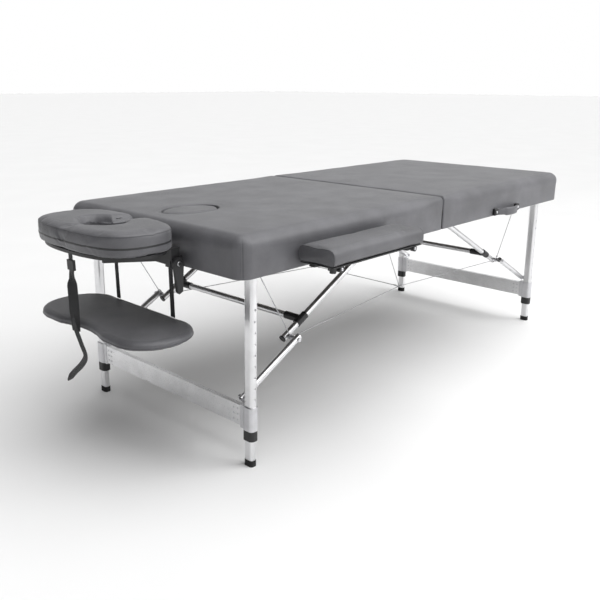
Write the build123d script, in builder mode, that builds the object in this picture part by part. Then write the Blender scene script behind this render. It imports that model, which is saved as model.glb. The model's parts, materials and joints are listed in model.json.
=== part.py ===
"""Portable massage table: two upholstered sections on folding aluminium leg frames.

The table stands open. X runs along it from the head end (-X) to the foot end (+X), Y across it,
Z up from the floor. The origin is on the floor, under the middle of the whole table's box.
Distances along a section are measured from the seam between the two sections: "out" is the
distance from the seam, towards the head end for side -1 and towards the foot end for side +1.
"""
import os
from math import atan2, copysign, cos, degrees, hypot, pi, radians, sin, sqrt

from build123d import *

# ---- driving dimensions (mm, degrees) --------------------------------------------------------
TABLE_LENGTH = 1850.0        # both sections, without the face cradle
TABLE_WIDTH = 820.0
TABLE_TOP = 670.0            # top of the cushion over the floor, legs at the stored height
PANEL_BOTTOM = 555.0         # lower edge of the upholstered sides
DECK_BOTTOM = 610.0          # roof of the hollow that stores the legs
DECK_THICKNESS = 8.0
CRADLE_REACH = 255.0         # from the head end to the far side of the face cradle
RAIL_THICKNESS = 12.0
RAIL_INSET = 3.0             # room outside the rails for the upholstery
SEAM_GAP = 0.5               # from the seam plane to each cushion
PLAN_CORNER = 36.0           # rounding of the outer corners, seen from above

LEG_SPLAY = 1.5              # outward lean of the legs, from the vertical
LEG_PIVOT_OUT = 855.0
LEG_PIVOT_Z = 574.0
LEG_Y = {-1: 368.0, 1: 340.0}    # the foot frame is narrower than the head frame
TUBE_Y, TUBE_X = 34.0, 24.0      # outer leg tube, across and along the table
TUBE_CORNER = 9.0
TUBE_WALL = 1.8
SLIDE_GAP = 0.35                 # between the outer and the inner leg tube, all round
INNER_WALL = 1.6
TUBE_TOP = -14.0                 # heights on a leg are distances down from its pivot
BUTTON_DOWN = 147.0
HOLE_PITCH = 32.0
HOLES_ABOVE, HOLES_BELOW = 1, 7
HOLE_RADIUS = 3.5
BUTTON_RADIUS = 3.1
SLEEVE_TOP, SLEEVE_BOTTOM = 395.0, 465.0
COLLAR_BOTTOM = 495.0
INNER_TOP, INNER_BOTTOM = 115.0, 560.0
FOOT_TOP = 556.0
BEAM_TOP, BEAM_BOTTOM = 400.0, 460.0
BEAM_THICKNESS = 16.0
BEAM_WALL = 2.0

BRACE_RADIUS = 10.0
BRACE_BORE = 8.4
BRACE_DOWN = 378.0               # lower brace pivot, down the leg
LOWER_LANE = 30.0                # lower brace centre, inboard of the leg centre
UPPER_LANE = 74.0                # upper brace centre, inboard of the leg centre
UPPER_PIVOT_OUT = 120.0
UPPER_PIVOT_Z = 595.0
BRACE_TAIL = 13.0                # tube beyond each pivot
TEE_FROM_KNEE = 75.0
BOLT_RADIUS = 4.0
PIVOT_PIN_RADIUS = 3.95
FORK_PLAY = 0.5                  # between a fork's cheek and what it holds
FORK_CHEEK = 3.0
FORK_PLATE = 2.5
RUNNING = 0.05                   # radial clearance of every pin in its bore
BUSH_WALL = 2.45
BUSH_LIP = 2.5                   # how far a bush's collar stands off its rail

HINGE_Z = 554.5
HINGE_Y = (-330.0, 0.0, 330.0)
KNUCKLE_RADIUS = 4.2
PIN_RADIUS = 2.4
LEAF_THICKNESS = 1.6
LEAF_HEIGHT = 30.0
KNUCKLE_LENGTH = 15.0
KNUCKLE_GAP = 0.4

FACE_OUT = 755.0                 # face hole, from the seam
FACE_HALF_LENGTH, FACE_HALF_WIDTH = 95.0, 70.0
FACE_GAP = 1.5
FACE_LEDGE = 14.0

ARM_OUT = (308.0, 732.0)
ARM_INNER, ARM_OUTER = 412.5, 545.0
ARM_BOARD_Z = (571.8, 575.2)
ARM_PAD_Z = (575.5, 623.0)
ARM_ROD_OUT = (352.0, 688.0)
ARM_ROD_Z = 566.0
ARM_ROD_RADIUS = 5.5
ARM_ROD_Y = (391.0, 526.0)
ARM_CLAMP_Y = (440.0, 506.0)

CRADLE_ROD_Y = 165.0
CRADLE_ROD_Z = 578.0
CRADLE_ROD_RADIUS = 7.0
CRADLE_ROD_TIP = 842.0           # how far in the rods end, from the seam
CRADLE_PIVOT_OUT = 955.0
CRADLE_PIVOT_Z = 570.0
CRADLE_PIVOT_RADIUS = 5.0
CRADLE_NEAR_EDGE = 930.0         # the cushion's edge by the table, from the seam
CRADLE_BOTTOM, CRADLE_TOP = 614.0, 676.0
CRADLE_HALF_WIDTH = 225.0
CRADLE_SQUARENESS = 2.5          # power of the superellipse round the cushion
CRADLE_HOLE = (52.0, 72.0)       # half sizes along and across the table
CRADLE_MOUTH = 28.0              # half width of the gap between the cushion's two arms
PLATFORM_THICKNESS = 8.5
PLATFORM_MARGIN = 10.0           # how far the board stays inside the cushion
ARM_HEIGHT = 34.0                # platform's side arms
ARM_THICKNESS = 8.0
LEVER_THICKNESS = 11.0
LEVER_LENGTH = 84.0

SHELF_Z = (378.0, 402.0)
SHELF_OUT = (922.0, 1158.0)
SHELF_HALF_WIDTH = 285.0
SHELF_BAY_DEPTH = 18.0
SHELF_BAY_RADIUS = 300.0
STRAP_WIDTH = 20.0
STRAP_THICKNESS = 2.0
STRAP_PLACES = ((1150.0, 15.0), (938.0, -134.0), (938.0, 134.0))     # out and y
STRAP_TOP = 604.0
BUCKLE_Z = 566.0

HANDLE_OUT = 448.0
HANDLE_SPAN = 158.0
HANDLE_Z = 568.5
HANDLE_BULGE = 34.0
HANDLE_HEIGHT = 28.0
HANDLE_THICKNESS = 6.0

CABLE_RADIUS = 1.3
RING_RADIUS = 8.0
NEAR_RING = (0.0, -245.0, 320.0)     # out, y, z of the cable rings
FAR_RING = (0.0, 165.0, 322.0)

# ---- places that follow from them ------------------------------------------------------------
HALF_LENGTH = TABLE_LENGTH / 2
HALF_WIDTH = TABLE_WIDTH / 2
SEAM_X = CRADLE_REACH / 2            # the whole box is centred on the origin
DECK_TOP = DECK_BOTTOM + DECK_THICKNESS
RAIL_FACE = HALF_WIDTH - RAIL_INSET
RAIL_SEAM = 2.0
SPLAY_SIN, SPLAY_COS = sin(radians(LEG_SPLAY)), cos(radians(LEG_SPLAY))
SECTION = {-1: "head", 1: "foot"}
PLACE = {-1: "near", 1: "far"}

BRACE_FOOT_OUT = LEG_PIVOT_OUT + BRACE_DOWN * SPLAY_SIN
BRACE_FOOT_Z = LEG_PIVOT_Z - BRACE_DOWN * SPLAY_COS
STRUT = hypot(BRACE_FOOT_OUT - UPPER_PIVOT_OUT, UPPER_PIVOT_Z - BRACE_FOOT_Z)
# Folded, the leg lies level, the upper brace lies level and the knee is at the upper pivot's height.
FOLDED_SPAN = LEG_PIVOT_OUT - BRACE_DOWN - UPPER_PIVOT_OUT
FOLDED_RISE = UPPER_PIVOT_Z - LEG_PIVOT_Z
UPPER_LENGTH = (STRUT**2 - FOLDED_SPAN**2 - FOLDED_RISE**2) / (2 * (STRUT - FOLDED_SPAN))
LOWER_LENGTH = STRUT - UPPER_LENGTH
STRUT_OUT = (BRACE_FOOT_OUT - UPPER_PIVOT_OUT) / STRUT      # unit vector from the upper pivot
STRUT_DOWN = (UPPER_PIVOT_Z - BRACE_FOOT_Z) / STRUT
KNEE_OUT = UPPER_PIVOT_OUT + UPPER_LENGTH * STRUT_OUT
KNEE_Z = UPPER_PIVOT_Z - UPPER_LENGTH * STRUT_DOWN

os.makedirs("parts", exist_ok=True)


def x_at(side, out):
    """The X of a point that is `out` from the seam on a section's side."""
    return SEAM_X + side * out


def save(part, name):
    """Label a finished piece and write it under its node name."""
    part.label = name
    export_step(part, f"parts/{name}.step")


def bar(start, end, radius, bore=0.0, mode=Mode.ADD):
    """A round bar or tube between two points, joined to the part being built."""
    axis = Vector(*end) - Vector(*start)
    with BuildSketch(Plane(origin=start, z_dir=axis)) as section:
        Circle(radius)
        if bore:
            Circle(bore, mode=Mode.SUBTRACT)
    extrude(section.sketch, amount=axis.length, mode=mode)


def block(x, y, z, mode=Mode.ADD):
    """A box given by its (low, high) along X, Y and Z."""
    middle = tuple((low + high) / 2 for low, high in (x, y, z))
    with Locations(middle):
        Box(*(abs(high - low) for low, high in (x, y, z)), mode=mode)


def leg_plane(side, y):
    """A plane at a leg's pivot: its Z runs down the leg, its X along the table's Y."""
    return Plane(
        origin=(x_at(side, LEG_PIVOT_OUT), y, LEG_PIVOT_Z),
        x_dir=(0, 1, 0),
        z_dir=(side * SPLAY_SIN, 0, -SPLAY_COS),
    )


def leg_profile(side, y, down, grow, wall=0.0):
    """A rounded leg section, `grow` larger all round than the outer tube, at a distance down."""
    with BuildSketch(leg_plane(side, y).offset(down)) as profile:
        RectangleRounded(TUBE_Y + 2 * grow, TUBE_X + 2 * grow, TUBE_CORNER + grow)
        if wall:
            inner = grow - wall
            RectangleRounded(
                TUBE_Y + 2 * inner, TUBE_X + 2 * inner, TUBE_CORNER + inner, mode=Mode.SUBTRACT
            )
    return profile.sketch


def round_end_corners(side, half_width, end, radius):
    """Keeps only what lies inside a section's outline with its two outer corners rounded."""
    with BuildSketch(Plane.XY) as outline:
        with Locations((x_at(side, end / 2 - 50), 0)):
            Rectangle(end + 100, 2 * half_width)
        outer = outline.vertices().group_by(Axis.X)[0 if side < 0 else -1]
        fillet(outer, radius=radius)
    extrude(outline.sketch, amount=TABLE_TOP, mode=Mode.INTERSECT)


# ---- sections: deck, rails, cushion, hinges, brackets ----------------------------------------
def make_deck(side):
    with BuildPart() as deck:
        block(
            (x_at(side, RAIL_SEAM), x_at(side, HALF_LENGTH - RAIL_INSET)),
            (-RAIL_FACE, RAIL_FACE),
            (DECK_BOTTOM, DECK_TOP),
        )
        if side < 0:
            with BuildSketch(Plane.XY.offset(DECK_BOTTOM)) as opening:
                with Locations((x_at(side, FACE_OUT), 0)):
                    Ellipse(FACE_HALF_LENGTH - FACE_LEDGE, FACE_HALF_WIDTH - FACE_LEDGE)
            extrude(opening.sketch, amount=DECK_THICKNESS, mode=Mode.SUBTRACT)
        round_end_corners(side, RAIL_FACE, HALF_LENGTH - RAIL_INSET, PLAN_CORNER)
    save(deck.part, f"{SECTION[side]}_deck")


def make_rails(side):
    """Rails that make the hollow under the deck, with notches for the hinges and holes for rods."""
    end_face = HALF_LENGTH - RAIL_INSET
    end_inner = end_face - RAIL_THICKNESS
    side_inner = RAIL_FACE - RAIL_THICKNESS
    height = (PANEL_BOTTOM, DECK_BOTTOM)
    between = (-side_inner + 0.2, side_inner - 0.2)
    along = (x_at(side, RAIL_SEAM), x_at(side, end_face))
    with BuildPart() as rails:
        for y_side in (-1, 1):
            block(along, (y_side * side_inner, y_side * RAIL_FACE), height)
        block((x_at(side, end_inner), x_at(side, end_face)), between, height)
        block((x_at(side, RAIL_SEAM), x_at(side, RAIL_SEAM + RAIL_THICKNESS)), between, height)
        half = 2.5 * KNUCKLE_LENGTH + 3
        notch = (x_at(side, RAIL_SEAM), x_at(side, KNUCKLE_RADIUS + 0.8))
        notch_height = (PANEL_BOTTOM, HINGE_Z + KNUCKLE_RADIUS + 0.8)
        for y in HINGE_Y:
            block(notch, (y - half, y + half), notch_height, Mode.SUBTRACT)
        if side < 0:
            for y_side in (-1, 1):
                for out in ARM_ROD_OUT:
                    start = (x_at(side, out), y_side * (side_inner - 5), ARM_ROD_Z)
                    end = (x_at(side, out), y_side * (RAIL_FACE + 5), ARM_ROD_Z)
                    bar(start, end, ARM_ROD_RADIUS + BUSH_WALL + RUNNING, mode=Mode.SUBTRACT)
                start = (x_at(side, end_inner - 5), y_side * CRADLE_ROD_Y, CRADLE_ROD_Z)
                end = (x_at(side, end_face + 5), y_side * CRADLE_ROD_Y, CRADLE_ROD_Z)
                bar(start, end, CRADLE_ROD_RADIUS + BUSH_WALL + RUNNING, mode=Mode.SUBTRACT)
        round_end_corners(side, RAIL_FACE, end_face, PLAN_CORNER)
    save(rails.part, f"{SECTION[side]}_rails")


def make_cushion(side):
    with BuildPart() as cushion:
        block(
            (x_at(side, SEAM_GAP), x_at(side, HALF_LENGTH)),
            (-HALF_WIDTH, HALF_WIDTH),
            (DECK_TOP, TABLE_TOP),
        )
        outer = cushion.edges().filter_by(Axis.Z).group_by(Axis.X)[0 if side < 0 else -1]
        fillet(outer, radius=PLAN_CORNER + RAIL_INSET)
        seam = cushion.faces().sort_by(Axis.X)[-1 if side < 0 else 0]
        rim = [e for e in cushion.faces().sort_by(Axis.Z)[-1].edges() if e not in seam.edges()]
        fillet(rim, radius=24)
        if side < 0:
            with BuildSketch(Plane.XY.offset(DECK_TOP)) as hole:
                with Locations((x_at(side, FACE_OUT), 0)):
                    Ellipse(FACE_HALF_LENGTH, FACE_HALF_WIDTH)
            extrude(hole.sketch, amount=TABLE_TOP - DECK_TOP, mode=Mode.SUBTRACT)
    save(cushion.part, f"{SECTION[side]}_cushion")


def make_face_plug():
    with BuildPart() as plug:
        with BuildSketch(Plane.XY.offset(DECK_TOP + 0.3)):
            with Locations((x_at(-1, FACE_OUT), 0)):
                Ellipse(FACE_HALF_LENGTH - FACE_GAP, FACE_HALF_WIDTH - FACE_GAP)
        extrude(amount=TABLE_TOP - DECK_TOP - 0.3)
        fillet(plug.faces().sort_by(Axis.Z)[-1].edges(), radius=6)
    save(plug.part, "face_plug")


def knuckle_rows(side):
    """The Y spans of one leaf's knuckles: three on the head leaf, two on the foot leaf."""
    slots = (0, 2, 4) if side < 0 else (1, 3)
    for y in HINGE_Y:
        for slot in slots:
            low = y + (slot - 2.5) * KNUCKLE_LENGTH
            yield low + KNUCKLE_GAP / 2, low + KNUCKLE_LENGTH - KNUCKLE_GAP / 2


def make_hinge_leaves(side):
    face = RAIL_SEAM - LEAF_THICKNESS
    leaf_bottom = HINGE_Z + KNUCKLE_RADIUS + 1
    with BuildPart() as leaves:
        for y in HINGE_Y:
            half = 2.5 * KNUCKLE_LENGTH
            plate = (x_at(side, face), x_at(side, RAIL_SEAM - 0.05))
            block(plate, (y - half, y + half), (leaf_bottom, leaf_bottom + LEAF_HEIGHT))
        for low, high in knuckle_rows(side):
            bar((SEAM_X, low, HINGE_Z), (SEAM_X, high, HINGE_Z), KNUCKLE_RADIUS)
            block(plate, (low, high), (HINGE_Z, leaf_bottom))
        for y in HINGE_Y:
            reach = 2.5 * KNUCKLE_LENGTH + 2
            start, end = (SEAM_X, y - reach, HINGE_Z), (SEAM_X, y + reach, HINGE_Z)
            bar(start, end, PIN_RADIUS + RUNNING, mode=Mode.SUBTRACT)
    save(leaves.part, f"{SECTION[side]}_hinge_leaves")


def make_hinge_pins():
    with BuildPart() as pins:
        for y in HINGE_Y:
            reach = 2.5 * KNUCKLE_LENGTH + 1.5
            bar((SEAM_X, y - reach, HINGE_Z), (SEAM_X, y + reach, HINGE_Z), PIN_RADIUS)
    save(pins.part, "hinge_pins")


def fork_places(side):
    """Out, z, y and half gap of the forks under the deck: two for legs, two for upper braces."""
    for y_side in (-1, 1):
        leg_y = y_side * LEG_Y[side]
        brace_y = leg_y - y_side * UPPER_LANE
        yield LEG_PIVOT_OUT, LEG_PIVOT_Z, leg_y, TUBE_Y / 2 + FORK_PLAY
        yield UPPER_PIVOT_OUT, UPPER_PIVOT_Z, brace_y, BRACE_RADIUS + FORK_PLAY


def make_brackets(side):
    """Forks under the deck for the two legs and the two upper braces."""
    half_length = 14.0
    below = 10.5
    with BuildPart() as brackets:
        for out, z, y, half_gap in fork_places(side):
            x = x_at(side, out)
            along = (x - half_length, x + half_length)
            outer = half_gap + FORK_CHEEK
            block(along, (y - outer, y + outer), (DECK_BOTTOM - FORK_PLATE, DECK_BOTTOM))
            for cheek in (-1, 1):
                width = sorted((y + cheek * half_gap, y + cheek * outer))
                block(along, width, (z - below, DECK_BOTTOM - FORK_PLATE))
            start, end = (x, y - outer - 1, z), (x, y + outer + 1, z)
            bar(start, end, PIVOT_PIN_RADIUS, mode=Mode.SUBTRACT)
    save(brackets.part, f"{SECTION[side]}_brackets")


def make_pivot_pins(side):
    """Pins that hold the legs and the upper braces in their forks."""
    head_radius, head_height = 6.5, 2.5
    with BuildPart() as pins:
        for out, z, y, half_gap in fork_places(side):
            x = x_at(side, out)
            reach = half_gap + FORK_CHEEK
            bar((x, y - reach, z), (x, y + reach, z), PIVOT_PIN_RADIUS)
            for end in (-1, 1):
                low, high = sorted((y + end * reach, y + end * (reach + head_height)))
                bar((x, low, z), (x, high, z), head_radius)
    save(pins.part, f"{SECTION[side]}_pivot_pins")


def make_sockets():
    """Bushes in the head section's rails for the armrest rods and the cradle rods."""
    side_inner = RAIL_FACE - RAIL_THICKNESS
    end_inner = HALF_LENGTH - RAIL_INSET - RAIL_THICKNESS
    with BuildPart() as sockets:
        for y_side in (-1, 1):
            for out in ARM_ROD_OUT:
                x = x_at(-1, out)
                inner, face = y_side * side_inner, y_side * RAIL_FACE
                lip = y_side * (RAIL_FACE + BUSH_LIP)
                bar((x, inner, ARM_ROD_Z), (x, lip, ARM_ROD_Z), ARM_ROD_RADIUS + BUSH_WALL)
                bar((x, face, ARM_ROD_Z), (x, lip, ARM_ROD_Z), ARM_ROD_RADIUS + 5)
                start, end = (x, inner - y_side, ARM_ROD_Z), (x, lip + y_side, ARM_ROD_Z)
                bar(start, end, ARM_ROD_RADIUS + RUNNING, mode=Mode.SUBTRACT)
            y = y_side * CRADLE_ROD_Y
            inner, face = x_at(-1, end_inner - 40), x_at(-1, HALF_LENGTH - RAIL_INSET)
            lip = face - BUSH_LIP
            bar((inner, y, CRADLE_ROD_Z), (lip, y, CRADLE_ROD_Z), CRADLE_ROD_RADIUS + BUSH_WALL)
            bar((face, y, CRADLE_ROD_Z), (lip, y, CRADLE_ROD_Z), CRADLE_ROD_RADIUS + 5)
            start, end = (inner + 1, y, CRADLE_ROD_Z), (lip - 1.5, y, CRADLE_ROD_Z)
            bar(start, end, CRADLE_ROD_RADIUS + RUNNING, mode=Mode.SUBTRACT)
    save(sockets.part, "head_sockets")


def make_handle(side):
    """A padded strap handle on the near side, its two end mounts and their screws."""
    half = HANDLE_SPAN / 2
    wall = -HALF_WIDTH - 0.3
    inner, outer = wall - 4, wall - 4 - HANDLE_THICKNESS
    x = x_at(side, HANDLE_OUT)
    low = HANDLE_Z - HANDLE_HEIGHT / 2
    with BuildPart() as handle:
        with BuildSketch(Plane.XY.offset(low)) as outline:
            with BuildLine():
                bulge = wall - HANDLE_BULGE
                ThreePointArc((x - half, inner), (x, bulge), (x + half, inner))
                Line((x + half, inner), (x + half, outer))
                ThreePointArc((x + half, outer), (x, bulge - HANDLE_THICKNESS), (x - half, outer))
                Line((x - half, outer), (x - half, inner))
            make_face()
        extrude(outline.sketch, amount=HANDLE_HEIGHT)
        for end in (-1, 1):
            middle = x + end * (half + 6)
            along, depth = (middle - 13, middle + 13), (wall - 12, wall)
            block(along, depth, (low + 1, low + HANDLE_HEIGHT - 1))
            bar((middle, depth[0], HANDLE_Z), (middle, depth[0] - 2.5, HANDLE_Z), 5.5)
    save(handle.part, f"{SECTION[side]}_handle")


# ---- leg frames ------------------------------------------------------------------------------
def make_outer_tubes(side):
    with BuildPart() as tubes:
        for y_side in (-1, 1):
            y = y_side * LEG_Y[side]
            extrude(leg_profile(side, y, TUBE_TOP, 0, TUBE_WALL), amount=SLEEVE_BOTTOM - TUBE_TOP)
            plane = leg_plane(side, y)
            for hole in range(-HOLES_ABOVE, HOLES_BELOW + 1):
                down = BUTTON_DOWN + hole * HOLE_PITCH
                start = plane.from_local_coords((y_side * (TUBE_Y / 2 - 4), 0, down))
                end = plane.from_local_coords((y_side * (TUBE_Y / 2 + 2), 0, down))
                bar(start, end, HOLE_RADIUS, mode=Mode.SUBTRACT)
            pivot = (x_at(side, LEG_PIVOT_OUT), LEG_PIVOT_Z)
            start, end = ((pivot[0], y + reach, pivot[1]) for reach in (-TUBE_Y, TUBE_Y))
            bar(start, end, BOLT_RADIUS, mode=Mode.SUBTRACT)
            inboard = y - y_side * TUBE_Y / 2
            x, z = x_at(side, BRACE_FOOT_OUT), BRACE_FOOT_Z
            bar((x, inboard - 4, z), (x, inboard + 4, z), BOLT_RADIUS + RUNNING, mode=Mode.SUBTRACT)
    save(tubes.part, f"{SECTION[side]}_outer_tubes")


def make_sleeves(side):
    """Cast sockets at the foot of the outer tubes, each with a tongue inside the beam."""
    grow = 3.4
    tongue_y = BEAM_THICKNESS / 2 - BEAM_WALL - 0.1
    with BuildPart() as sleeves:
        for y_side in (-1, 1):
            y = y_side * LEG_Y[side]
            profile = leg_profile(side, y, SLEEVE_TOP, grow)
            extrude(profile, amount=SLEEVE_BOTTOM - SLEEVE_TOP)
            shoulder = leg_plane(side, y - y_side * (TUBE_Y / 2 + 7)).offset(SLEEVE_TOP)
            with BuildSketch(shoulder) as lug:
                RectangleRounded(18, BEAM_THICKNESS + 4, 4)
            extrude(lug.sketch, amount=SLEEVE_BOTTOM - SLEEVE_TOP)
            tongue_top = BEAM_TOP + BEAM_WALL + 0.1
            tongue = leg_plane(side, y - y_side * (TUBE_Y / 2 + 32)).offset(tongue_top)
            with BuildSketch(tongue) as inside:
                Rectangle(40, 2 * tongue_y)
            extrude(inside.sketch, amount=BEAM_BOTTOM - BEAM_TOP - 2 * BEAM_WALL - 0.2)
            bore = leg_profile(side, y, SLEEVE_TOP - 1, 0.05)
            extrude(bore, amount=SLEEVE_BOTTOM - SLEEVE_TOP + 2, mode=Mode.SUBTRACT)
    save(sleeves.part, f"{SECTION[side]}_sleeves")


def make_collars(side):
    bore = -TUBE_WALL - SLIDE_GAP + 0.35
    with BuildPart() as collars:
        for y_side in (-1, 1):
            y = y_side * LEG_Y[side]
            start = SLEEVE_BOTTOM + 0.1
            extrude(leg_profile(side, y, start, 2.8, 2.8 - bore), amount=COLLAR_BOTTOM - start)
    save(collars.part, f"{SECTION[side]}_collars")


def make_beam(side):
    half = LEG_Y[side] - TUBE_Y / 2 - 16.2
    with BuildPart() as beam:
        with BuildSketch(leg_plane(side, 0).offset(BEAM_TOP)) as outline:
            Rectangle(2 * half, BEAM_THICKNESS)
        extrude(outline.sketch, amount=BEAM_BOTTOM - BEAM_TOP)
        with BuildSketch(leg_plane(side, 0).offset(BEAM_TOP + BEAM_WALL)) as hollow:
            Rectangle(2 * half + 2, BEAM_THICKNESS - 2 * BEAM_WALL)
        extrude(hollow.sketch, amount=BEAM_BOTTOM - BEAM_TOP - 2 * BEAM_WALL, mode=Mode.SUBTRACT)
    save(beam.part, f"{SECTION[side]}_beam")


def make_inner_leg(side, y_side):
    """Inner tube, rubber foot and height button of one leg."""
    y = y_side * LEG_Y[side]
    plane = leg_plane(side, y)
    name = f"{SECTION[side]}_{PLACE[y_side]}"
    shrink = -TUBE_WALL - SLIDE_GAP
    half_y = TUBE_Y / 2 + shrink
    with BuildPart() as inner:
        extrude(leg_profile(side, y, INNER_TOP, shrink, INNER_WALL), amount=INNER_BOTTOM - INNER_TOP)
        start = plane.from_local_coords((y_side * (half_y - 4), 0, BUTTON_DOWN))
        end = plane.from_local_coords((y_side * (half_y + 2), 0, BUTTON_DOWN))
        bar(start, end, BUTTON_RADIUS + RUNNING, mode=Mode.SUBTRACT)
    save(inner.part, f"{name}_inner_tube")

    with BuildPart() as foot:
        extrude(leg_profile(side, y, INNER_BOTTOM, shrink + 1.4), amount=LEG_PIVOT_Z - INNER_BOTTOM + 5)
        skirt = leg_profile(side, y, FOOT_TOP, shrink + 1.4, 1.35)
        extrude(skirt, amount=INNER_BOTTOM - FOOT_TOP)
        split(bisect_by=Plane.XY, keep=Keep.TOP)
    save(foot.part, f"{name}_foot")

    with BuildPart() as button:
        start = plane.from_local_coords((y_side * (half_y - 6), 0, BUTTON_DOWN))
        end = plane.from_local_coords((y_side * (TUBE_Y / 2 + 2.2), 0, BUTTON_DOWN))
        bar(start, end, BUTTON_RADIUS)
        fillet(button.edges().sort_by(Axis.Y)[-1 if y_side > 0 else 0], radius=1.5)
    save(button.part, f"{name}_button")


# ---- braces ----------------------------------------------------------------------------------
def strut_point(side, along, y):
    """A point on the straightened brace line, `along` from the upper pivot."""
    return (
        x_at(side, UPPER_PIVOT_OUT + along * STRUT_OUT),
        y,
        UPPER_PIVOT_Z - along * STRUT_DOWN,
    )


def cross_bolt(side, out, z, y_from, y_to, radius, mode=Mode.ADD):
    x = x_at(side, out)
    bar((x, y_from, z), (x, y_to, z), radius, mode=mode)


def make_upper_braces(side):
    with BuildPart() as tubes:
        for y_side in (-1, 1):
            y = y_side * (LEG_Y[side] - UPPER_LANE)
            start, end = strut_point(side, -6, y), strut_point(side, UPPER_LENGTH + BRACE_TAIL, y)
            bar(start, end, BRACE_RADIUS, BRACE_BORE)
            cross_bolt(side, UPPER_PIVOT_OUT, UPPER_PIVOT_Z, y - 15, y + 15, BOLT_RADIUS, Mode.SUBTRACT)
    save(tubes.part, f"{SECTION[side]}_upper_braces")


def make_crossbar(side):
    along = UPPER_LENGTH - TEE_FROM_KNEE
    reach = LEG_Y[side] - UPPER_LANE - 24
    with BuildPart() as crossbar:
        bar(strut_point(side, along, -reach), strut_point(side, along, reach), BRACE_RADIUS, BRACE_BORE)
    save(crossbar.part, f"{SECTION[side]}_crossbar")


def make_tees(side):
    """Plastic tees that hold the crossbar on the upper braces, and the caps of those braces."""
    along = UPPER_LENGTH - TEE_FROM_KNEE
    with BuildPart() as tees:
        for y_side in (-1, 1):
            y = y_side * (LEG_Y[side] - UPPER_LANE)
            bar(strut_point(side, along - 22, y), strut_point(side, along + 22, y), BRACE_RADIUS + 2.4)
            bar(strut_point(side, along, y), strut_point(side, along, y - y_side * 62), BRACE_RADIUS + 1.9)
            bar(
                strut_point(side, along - 30, y), strut_point(side, along + 30, y), BRACE_RADIUS + 0.02,
                mode=Mode.SUBTRACT,
            )
            bar(
                strut_point(side, along, y - y_side * 23.9), strut_point(side, along, y - y_side * 70),
                BRACE_RADIUS + 0.02, mode=Mode.SUBTRACT,
            )
            cap = UPPER_LENGTH + BRACE_TAIL
            bar(strut_point(side, cap + 0.05, y), strut_point(side, cap + 4, y), BRACE_RADIUS + 0.8)
    save(tees.part, f"{SECTION[side]}_tees")


def make_lower_braces(side):
    with BuildPart() as tubes:
        for y_side in (-1, 1):
            y = y_side * (LEG_Y[side] - LOWER_LANE)
            start = strut_point(side, UPPER_LENGTH - BRACE_TAIL, y)
            bar(start, strut_point(side, STRUT + 8, y), BRACE_RADIUS, BRACE_BORE)
            for out, z in ((KNEE_OUT, KNEE_Z), (BRACE_FOOT_OUT, BRACE_FOOT_Z)):
                cross_bolt(side, out, z, y - 15, y + 15, BOLT_RADIUS, Mode.SUBTRACT)
    save(tubes.part, f"{SECTION[side]}_lower_braces")


def make_brace_bolts(side):
    """Knee bolts with their spacers, and the bolts of the lower braces in the legs."""
    with BuildPart() as bolts:
        for y_side in (-1, 1):
            leg_y = LEG_Y[side]
            lower, upper = leg_y - LOWER_LANE, leg_y - UPPER_LANE
            spans = (
                (KNEE_OUT, KNEE_Z, upper + BRACE_RADIUS + 0.5, lower - BRACE_RADIUS, 7.0),
                (KNEE_OUT, KNEE_Z, lower - BRACE_RADIUS, lower + BRACE_RADIUS, BOLT_RADIUS),
                (KNEE_OUT, KNEE_Z, lower + BRACE_RADIUS, lower + BRACE_RADIUS + 4, 6.5),
                (BRACE_FOOT_OUT, BRACE_FOOT_Z, lower - BRACE_RADIUS - 4, lower - BRACE_RADIUS, 6.5),
                (BRACE_FOOT_OUT, BRACE_FOOT_Z, lower - BRACE_RADIUS, leg_y - TUBE_Y / 2 + 1.6, BOLT_RADIUS),
                (BRACE_FOOT_OUT, BRACE_FOOT_Z, lower + BRACE_RADIUS, leg_y - TUBE_Y / 2 - 0.3, 7.0),
            )
            for out, z, y_from, y_to, radius in spans:
                cross_bolt(side, out, z, y_side * y_from, y_side * y_to, radius)
    save(bolts.part, f"{SECTION[side]}_brace_bolts")


# ---- stay cables -----------------------------------------------------------------------------
def knee_eye(side, y_side):
    """Where a cable holds on to the knee spacer."""
    y = y_side * (LEG_Y[side] - (LOWER_LANE + UPPER_LANE) / 2)
    return Vector(x_at(side, KNEE_OUT), y, KNEE_Z)


def cable(start, end, start_gap, end_gap):
    """A taut wire rope that stops short of what it is tied to at each end."""
    direction = (end - start).normalized()
    bar(start + direction * start_gap, end - direction * end_gap, CABLE_RADIUS)


def make_cables(side):
    near_ring, far_ring = (Vector(SEAM_X + p[0], p[1], p[2]) for p in (NEAR_RING, FAR_RING))
    knee_gap, ring_gap = 8.5, RING_RADIUS + 0.4
    with BuildPart() as cables:
        for y_side in (-1, 1):
            knee = knee_eye(side, y_side)
            anchor = Vector(x_at(side, LEG_PIVOT_OUT - 32), knee.Y, DECK_BOTTOM - 1)
            cable(anchor, knee, 0, knee_gap)
        cable(knee_eye(side, -1), near_ring, knee_gap, ring_gap)
        cable(knee_eye(side, 1), far_ring, knee_gap, ring_gap)
        if side > 0:
            cable(knee_eye(side, 1) + Vector(0, 9, 0), near_ring, 15, ring_gap)
            cable(near_ring, far_ring, ring_gap, ring_gap)
            for ring in (near_ring, far_ring):
                with Locations(Location(ring)):
                    Torus(RING_RADIUS - 1.6, 1.6)
    save(cables.part, f"{SECTION[side]}_cables")


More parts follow.
